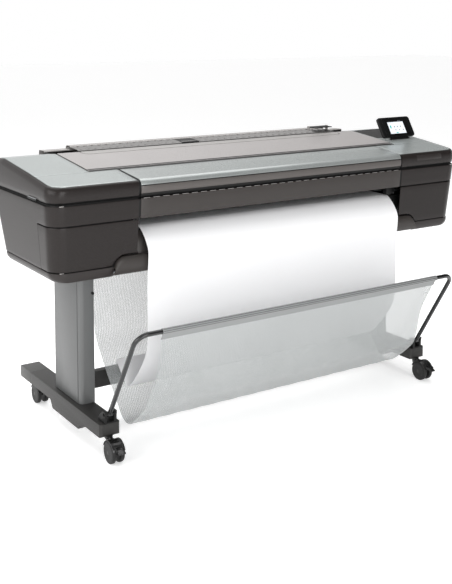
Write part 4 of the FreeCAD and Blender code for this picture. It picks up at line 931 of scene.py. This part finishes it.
# ---------------------------------------------------------------- stand
def make_columns():
    """The two folded columns: a large round on the outer front edge, small ones elsewhere."""
    outer, rear, top = measured(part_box("columns")[1])
    _, front, foot = measured(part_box("columns")[0])
    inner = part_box("cross_brace")[1].x / MM
    plan = [p for cx, cy, radius, start in ((outer - 18, front + 18, 18, -90), (outer - 3, rear - 3, 3, 0),
                                            (inner + 3, rear - 3, 3, 90), (inner + 4, front + 4, 4, 180))
            for p in arc(cx, cy, radius, start)]
    shells = []
    for side, sign in SIDES:
        rows = [[(sign * x, y, z) for x, y in plan] for z in spread(foot, top, 12)]
        shells.append(skin(f"{side}_column_shell", rows, WALL, flip=sign < 0, ring=True))
    finish(join("columns_piece", shells), "root", STAND_EDGE, "columns")
    softened("column_covers", "root", STAND_SIDE, 0.8)


def make_stand_screws():
    """Two screws through each column's cover and a hand screw on its front."""
    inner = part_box("cross_brace")[1].x / MM
    screws = []
    for side, sign in SIDES:
        for y in (246, 375):
            screws.append(lathe(f"screw_{side}_{y}", (sign * 715, y, 555), "x", [
                (0, 5), (sign * 1.4, 5), (sign * 2.6, 4), (sign * 2.9, 2.6), (sign * 1.6, 2.4),
                (sign * 1.6, 0.01)], 24))
        screws.append(lathe(f"hand_screw_{side}", (sign * (inner + 7), 198, 513), "y", [
            (8, 5), (2, 5), (0.6, 4.4), (0, 3.2), (0, 0.01)], 24))
    finish(join("stand_screws_piece", screws), "root", BLACK, "stand_screws")


def make_stand():
    """Feet, columns, brace, bin brackets and screws."""
    for side, _ in SIDES:
        softened(f"{side}_foot", "root", STAND, 2.2, 3)
    softened("foot_end_caps", "root", FOOT_CAP, 3.0, 3)
    make_columns()
    softened("cross_brace", "root", STAND, 1.4)
    softened("bin_brackets", "root", BLACK, 2.4, 3, slot="stand_paint")
    make_stand_screws()


def make_wheels(corner):
    """A caster's two wheels on their axle."""
    body = f"wheels_{corner}"
    low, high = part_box(body)
    x, y, z = measured((low + high) / 2)
    radius = (high.z - low.z) / 2 / MM
    tyres, hubs = [], []
    for way in (-1, 1):
        middle = (x + way * 15, y, z)
        tyres.append(lathe(f"tyre_{corner}_{way}", middle, "x", [
            (-7.6, 24), (-8, 27), (-7.8, 32), (-6.6, 35.4), (-4.2, radius - 0.2), (0, radius),
            (4.2, radius - 0.2), (6.6, 35.4), (7.8, 32), (8, 27), (7.6, 24)], 64))
        hubs.append(lathe(f"hub_{corner}_{way}", middle, "x", [
            (way * 4, 24.2), (way * 7.2, 24.0), (way * 7.8, 22.4), (way * 5.6, 20.5), (way * 5.2, 9),
            (way * 7.4, 7.6), (way * 7.9, 6.0), (way * 7.9, 0.01)], 64))
    axle = lathe(f"axle_{corner}", (x, y, z), "x", [(-17, 0.01), (-17, 4), (17, 4), (17, 0.01)], 24)
    finish(join(f"tyres_{corner}", tyres), body, TYRE, body)
    finish(join(f"hubs_{corner}", [*hubs, axle]), body, HUB)


def make_casters():
    """Four twin-wheel casters, the front two with a brake pedal."""
    for corner in ("front_left", "front_right", "rear_left", "rear_right"):
        make_wheels(corner)
        softened(f"caster_{corner}", f"caster_{corner}", CASTER, 0.8)
    for corner in ("front_left", "front_right"):
        softened(f"brake_{corner}", f"brake_{corner}", CASTER, 0.8)


# ---------------------------------------------------------------- paper bin
BIN_PIVOT_Y, BIN_PIVOT_Z = joint_place("bin_tilt")[1:]
BIN_LEAN = math.radians(31.6)
BIN_X, BIN_BEND, BIN_ROD = 695.0, 45.0, 8.0
BIN_REACH = (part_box("bin_frame")[1].z / MM - BIN_PIVOT_Z - BIN_ROD) / math.cos(BIN_LEAN)
CLOTH_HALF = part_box("bin_sling")[1].x / MM + 5


def bin_point(x, up):
    """A point in the leaning plane of the rod: x across, up along it from the pins."""
    return (x, BIN_PIVOT_Y - up * math.sin(BIN_LEAN), BIN_PIVOT_Z + up * math.cos(BIN_LEAN))


def tube(name, centres, radius, steps=20):
    """A round bar through points in the rod's plane, its ends closed."""
    rows = []
    places = [Vector(c) for c in centres]
    along_rod = Vector(bin_point(0, 0)) - Vector(bin_point(0, 100))
    normal = Vector((0, along_rod.z, -along_rod.y)).normalized()
    for i, centre in enumerate(places):
        before, after = places[max(i - 1, 0)], places[min(i + 1, len(places) - 1)]
        side = (after - before).normalized().cross(normal).normalized()
        rows.append([tuple(centre + side * a + normal * b)
                     for a, b in arc(0, 0, radius, 0, steps + 1, 360)[:-1]])
    thing = grid(name, rows, ring=True)
    edit(thing.data, close_holes, face_outwards)
    return bake(thing, 50)


def smooth_line(points, count):
    """Evenly spaced points on a smooth curve through the given (y, z) points."""
    dense = []
    for i in range(len(points) - 1):
        p0, p1 = Vector(points[max(i - 1, 0)]), Vector(points[i])
        p2, p3 = Vector(points[i + 1]), Vector(points[min(i + 2, len(points) - 1)])
        for k in range(24):
            t = k / 24
            dense.append(0.5 * (2 * p1 + (p2 - p0) * t + (2 * p0 - 5 * p1 + 4 * p2 - p3) * t * t
                                + (3 * p1 - p0 - 3 * p2 + p3) * t ** 3))
    dense.append(Vector(points[-1]))
    lengths = [0.0]
    for a, b in zip(dense, dense[1:]):
        lengths.append(lengths[-1] + (b - a).length)
    result = []
    for target in spread(0, lengths[-1], count):
        i = next((k for k in range(1, len(lengths)) if lengths[k] >= target - 1e-9), len(lengths) - 1)
        run = lengths[i] - lengths[i - 1]
        result.append(dense[i - 1].lerp(dense[i], (target - lengths[i - 1]) / run if run else 0))
    return result


def make_bin_frame():
    """The bent rod on its two eyes and pins."""
    bend = BIN_REACH - BIN_BEND
    left = [bin_point(-BIN_X, up) for up in spread(0, bend, 12)]
    left += [bin_point(-x, up) for x, up in arc(BIN_X - BIN_BEND, bend, BIN_BEND, 0, 13)[1:-1]]
    bar = [bin_point(x, BIN_REACH) for x in spread(BIN_BEND - BIN_X, BIN_X - BIN_BEND, 30)]
    parts = [tube("bin_rod_bar", left + bar + [(-x, y, z) for x, y, z in reversed(left)], BIN_ROD)]
    for side, sign in SIDES:
        foot = bin_point(sign * BIN_X, 0)
        parts.append(lathe(f"bin_pin_{side}", foot, "x", pin_profile(16.5, 5.9, 0.8, 0.9), 24))
        parts.append(lathe(f"bin_eye_{side}", foot, "x", pin_profile(9, 9.2, 1.5, 1.2), 28))
    finish(join("bin_frame_piece", parts), "bin", ROD, "bin_frame")


def cloth_row(point, share):
    """The cloth across its width, at a share of its length: waisted, rippled and gathered."""
    def hump(value, middle, width):
        return math.exp(-((value - middle) / width) ** 2)

    waist = 20 * hump(share, 0.13, 0.09) + 7 * hump(share, 0.5, 0.12)
    sag = math.sin(min(share / 0.22, 1.0) * math.pi)
    row = []
    for x in spread(-1, 1, 121):
        wave = 2.2 * math.sin(x * 19 + share * 9) * sag
        wave += 1.1 * math.sin(x * 43 - share * 17) * hump(share, 0.3, 0.2)
        wave += 5.0 * hump(x, 0.86, 0.09) * math.sin(share * 90) * hump(share, 0.27, 0.08)
        reach = CLOTH_HALF - waist * abs(x) ** 3
        row.append((x * reach, point[0] + 0.7 * wave, point[1] + 0.5 * wave))
    return row


def make_cloth(line):
    """The bin's mesh sheet along its line, and its length."""
    rows = [cloth_row(point, i / (len(line) - 1)) for i, point in enumerate(line)]
    cloth = grid("bin_cloth", rows)
    length = add_flat_map(cloth, rows)
    solid(cloth, 0.7)
    bake(cloth, 60)
    cloth.data.materials.append(CLOTH)
    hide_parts("bin_front_panel", "bin_sling")
    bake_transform(cloth)
    return cloth, length


def make_hem(line, bar_y, bar_z):
    """The sleeve round the rod, the lip that runs on from it, and the sewn lines."""
    half = CLOTH_HALF
    inside, rim, outside = BIN_ROD + 0.5, BIN_ROD + 1.5, BIN_ROD + 1.8
    sleeve = lathe("hem_sleeve", (0, bar_y, bar_z), "x", [
        (-half, inside), (-half, rim), (0.5 - half, outside), (half - 0.5, outside), (half, rim),
        (half, inside)], 28)
    rows = [[(x * (half - 1), y - 0.9, z - 0.4) for x in spread(-1, 1, 30)] for y, z in line[:4]]
    lip = skin("hem_lip", rows, 0.8)
    hem = finish(join("bin_hem_piece", [sleeve, lip]), "bin", HEM)
    seams = []
    for turn in (52, 14, -24):
        profile = [(2 * bar_y - y, z) for y, z in arc(bar_y, bar_z, BIN_ROD + 2, turn - 5, 3, 10)]
        seams.append(strip(f"hem_seam_{turn}", spread(1 - half, half - 1, 30), profile, 0.3, 0, flip=True))
    finish(join("hem_seams", seams), "bin", HEM_SEAM)
    return hem


def make_bin():
    """The paper bin: its frame, then the cloth from the rod down and back to the pan."""
    make_bin_frame()
    _, bar_y, bar_z = bin_point(0, BIN_REACH)
    line = smooth_line([
        (bar_y + 2, bar_z - 9), (bar_y + 20, bar_z - 48), (bar_y + 47, bar_z - 116), (-102, 272), (-78, 214),
        (-60, 178), (-24, 143), (21, 105), (54, 82), (86, 75.5), (114, 82), (138, 100), (180, 149),
        (232, 215), (274, 268), (302, 304), (317, 335), (323, 375), (325, 430), (325, 500), (325, 601),
    ], 150)
    cloth, length = make_cloth(line)
    hem = make_hem(line, bar_y, bar_z)


# ---------------------------------------------------------------- paper
SHEET_HALF, ROLL_OUT, ROLL_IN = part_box("paper_sheet")[1].x / MM, 62.0, 38.5


def make_sheet():
    """The printed sheet: over the platen, down the guide and into the bin."""
    z = 762.4
    line = smooth_line([
        (336, z + 35.2), (300, z + 26), (250, z + 12.5), (205, z + 1.2), (185, z), (150, z), (112, z),
        (84, z), (66, z - 0.1), (46, 755), (24, 737), (5, 715), (-8, 690), (-8, 655), (-2, 600), (0, 540),
        (0, 420), (3, 375), (14, 332), (42, 286), (82, 236), (118, 198), (140, 181), (154, 178), (170, 185),
        (203, 214), (239, 247),
    ], 160)
    rows = []
    for i, point in enumerate(line):
        loose = max(0.0, min(1.0, (i - 70) / 40))
        rows.append([(x * SHEET_HALF, point[0] + 1.2 * math.sin(x * 4.0 + 1.0) * loose, point[1])
                     for x in spread(-1, 1, 40)])
    sheet = grid("paper_sheet_piece", rows)
    add_flat_map(sheet, rows)
    solid(sheet, 0.3)
    finish(bake(sheet, 60), "root", PAPER, "paper_sheet")


def make_roll():
    """The roll, with the edges of its turns stepped at both ends."""
    low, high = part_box("paper_roll")
    _, y, z = measured((low + high) / 2)
    turns = list(enumerate(spread(ROLL_IN, ROLL_OUT, 13)))
    left = [(-SHEET_HALF + (0.5 if i % 2 else 0.0), radius) for i, radius in turns]
    right = [(-along, radius) for along, radius in reversed(left)]
    core = ROLL_IN - 0.3
    profile = [(-SHEET_HALF, core), *left, *right, (SHEET_HALF, core), (-SHEET_HALF, core)]
    finish(lathe("paper_roll_piece", (0, y, z), "x", profile, 96), "roll", PAPER, "paper_roll")


# ---------------------------------------------------------------- inside
def make_inside():
    """What the casing holds: rounded, or in the frame's own shape with a material."""
    for node, body, material, width, slot in (
            ("side_plates", "root", ZINC, 0.5, None), ("main_beam", "root", ZINC, 0.8, None),
            ("platen", "root", BLACK, 0.8, None), ("service_station", "root", BLACK, 0.8, None),
            ("ink_bays", "root", BLACK, 0.6, None), ("ink_cartridges", "root", CARTRIDGE, 1.5, None),
            ("power_unit", "root", ZINC, 0.8, "bright_aluminium"),
            ("print_heads", "carriage", CARTRIDGE, 0.8, "black_plastic"),
            ("cutter", "cutter", BLACK, 1.2, None), ("power_switch", "power_switch", BLACK, 0.5, None)):
        softened(node, body, material, width, slot=slot)
    softened("carriage", "carriage", BLACK, 3.0, 3)
    for node, material in (("carriage_rail", STEEL), ("scan_motor", STEEL), ("drive_belt", RUBBER),
                           ("drive_pulley", BLACK), ("idler_pulley", BLACK), ("feed_roller", ROLLER),
                           ("pinch_rollers", RUBBER), ("spindle", BLACK)):
        thing = frame["nodes"][node]
        thing.data.materials.clear()
        thing.data.materials.append(material)


LINER = 0.8


def end_liners(side, sign):
    """The flanges behind one end's seams; they are coloured black, as painted shade, where they are joined.
    """
    parts = []
    for label, levels, near in (("c", ((LINE_C - 6, 7.0), (656, 7.0)), 0),
                                ("b", ((788, 7.0), (808, 7.0)), 604),
                                ("a", ((852, 7.0), (863, 12.0), (882, 14.5)), 0)):
        rows = [[(sign * max(abs(x), near if y < 60 else 0), y, z) for x, y in lower_plan(sign, z, extra)]
                for z, extra in levels]
        parts.append(skin(f"{side}_liner_{label}", rows, LINER, flip=sign < 0))
    rows = [[(sign * (BODY_HALF - 0.07 * (LINE_A - z) - 7), y, z) for y in (110, 120, 130)]
            for z in (640, 700, 760, 808)]
    parts.append(skin(f"{side}_liner_door", rows, LINER, flip=sign < 0))
    stepped = ((570, 5), (576.5, 5), (580, 0), (590, 0))
    flange = [(13, 871), (5.4, 884.5), (2.2, 894), (2.2, 904), (3.0, 911), (5.6, 917), (9.2, 921.6),
              (13, 924.2), (18, 925.8), (25, 926.8), (51, 929.8), (128, 939.2)]
    lower = [(8.2, 801), (5.0, 832), (2.2, 864.6)]
    for label, profile, fall in (("seam", flange, 0.7), ("fascia", lower, 0)):
        rows = [[(sign * x, y + inset, z - fall * inset) for x, inset in stepped] for y, z in profile]
        parts.append(skin(f"{side}_liner_{label}", rows, LINER, flip=sign > 0))
    rows = [[(sign * x, y, lid_height(y) - 7) for x in (682, 698)] for y in spread(166, 416, 12)]
    parts.append(skin(f"{side}_liner_lid", rows, LINER, flip=sign < 0))
    return parts


def make_seam_shade_liners():
    """Dark inner flanges close behind every seam, so no gap shows light; their black is painted shade for the
    dark inside each gap.
    """
    parts = [part for side, sign in SIDES for part in end_liners(side, sign)]
    parts.append(strip("liner_lid_front", spread(-697, 697, 20), ((142, 929), (156, 930), (176, 932)),
                       LINER, 0))
    parts.append(strip("liner_undercut_shade", spread(-590, 590, 20), ((18, 858), (15, 866), (15, 874), (26, 882)),
                       LINER, 0, flip=True))
    # The flanges are black as painted shade inside the seams.
    finish(join("seam_shade_liners", parts), "root", BLACK)


def make_latch(side, sign):
    """The small latch in the seam of an end's side."""
    well = box_piece(f"{side}_latch_well", side_span(sign, BODY_HALF - 6, BODY_HALF - 0.6),
                     (118, 190), (871.5, 877.4), 0.6)
    finish(well, "root", BLACK)
    latch = box_piece(f"{side}_latch", side_span(sign, BODY_HALF - 5, BODY_HALF - 0.2),
                      (120, 188), (877.6, 880.2), 0.8)
    finish(latch, "root", ZINC)


# ---------------------------------------------------------------- stage
def area_light(name, location, target, size, power):
    """A rectangular light that faces its target, in metres and watts."""
    data = bpy.data.lights.new(name, "AREA")
    data.shape = "RECTANGLE"
    data.size, data.size_y = size
    data.energy = power
    light = bpy.data.objects.new(name, data)
    light.location = location
    light.rotation_euler = (Vector(target) - Vector(location)).to_track_quat("-Z", "Y").to_euler()
    bpy.context.scene.collection.objects.link(light)


def make_stage():
    """A white floor, the room and its lights."""
    mesh = bpy.data.meshes.new("floor")
    size = 30.0
    corners = [(-size, -size, 0), (size, -size, 0), (size, size, 0), (-size, size, 0)]
    mesh.from_pydata(corners, [], [(0, 1, 2, 3)])
    floor = bpy.data.objects.new("floor", mesh)
    bpy.context.scene.collection.objects.link(floor)
    white = moulded("floor_white", (0.84, 0.84, 0.84, 1), 0.7, drift=0.0, specular=0.1)
    set_inputs(white.node_tree.nodes["Principled BSDF"], {
        "Emission Color": (1, 1, 1, 1), "Emission Strength": 0.45})
    floor.data.materials.append(white)
    make_world()
    area_light("overhead", (0.1, 0.9, 4.2), (0, 0.1, 0.8), (5, 3.5), 170)
    area_light("left_wall", (-4.4, -0.9, 1.9), (0, 0, 0.8), (3.6, 2.4), 100)
    area_light("low_fill", (-1.6, -4.2, 0.6), (0, 0, 0.35), (2.4, 0.8), 24)
    area_light("front_fill", (-1.0, -4.8, 2.0), (0, 0, 0.5), (3, 2), 104)


def make_world():
    """A white room, darker up on the right and behind the camera."""
    world = bpy.data.worlds.new("studio")
    bpy.context.scene.world = world
    world.use_nodes = True
    nodes, links = world.node_tree.nodes, world.node_tree.links
    split = nodes.new("ShaderNodeSeparateXYZ")
    links.new(nodes.new("ShaderNodeTexCoord").outputs["Generated"], split.inputs["Vector"])

    def ramp(axis, start, end, low, high):
        node = set_inputs(nodes.new("ShaderNodeMapRange"), {
            "From Min": start, "From Max": end, "To Min": low, "To Max": high})
        links.new(split.outputs[axis], node.inputs["Value"])
        return node.outputs["Result"]

    mix = set_inputs(nodes.new("ShaderNodeMix"), {"A": 1.0})
    links.new(ramp("Z", 0.13, 0.25, 0.0, 1.0), mix.inputs["Factor"])
    links.new(ramp("X", 0.42, 0.68, 0.95, 0.15), mix.inputs["B"])
    both = nodes.new("ShaderNodeMath")
    both.operation = "MULTIPLY"
    links.new(mix.outputs["Result"], both.inputs[0])
    links.new(ramp("Y", -0.55, 0.1, 0.3, 1.0), both.inputs[1])
    background = set_inputs(nodes["Background"], {"Color": (1, 1, 1, 1)})
    links.new(both.outputs["Value"], background.inputs["Strength"])


def make_camera():
    data = bpy.data.cameras.new("camera")
    data.lens = 60.53
    data.sensor_width = 36
    data.shift_y = -0.3065
    camera = bpy.data.objects.new("camera", data)
    camera.location = (-2.101, -3.0958, 1.442)
    camera.rotation_euler = Euler((math.radians(90 - 5.202), 0, math.radians(-33.2355)))
    bpy.context.scene.collection.objects.link(camera)
    bpy.context.scene.camera = camera


make_camera()
make_stage()
for end in SIDES:
    make_end_cover(*end)
    make_inlay(*end)
    make_seam_glints(*end)
    make_side_panel(*end)
    make_ink_door(*end)
    make_bottom_cap(*end)
    make_latch(*end)
make_blank_plate()
make_window()
make_fascia()
make_lid()
make_hood()
make_hood_recess()
make_rear_box()
make_lever()
make_rear_panel()
make_bottom()
make_display()
make_stand()
make_casters()
make_bin()
make_sheet()
make_roll()
make_inside()
make_seam_shade_liners()
bpy.context.scene.view_settings.view_transform = "Standard"
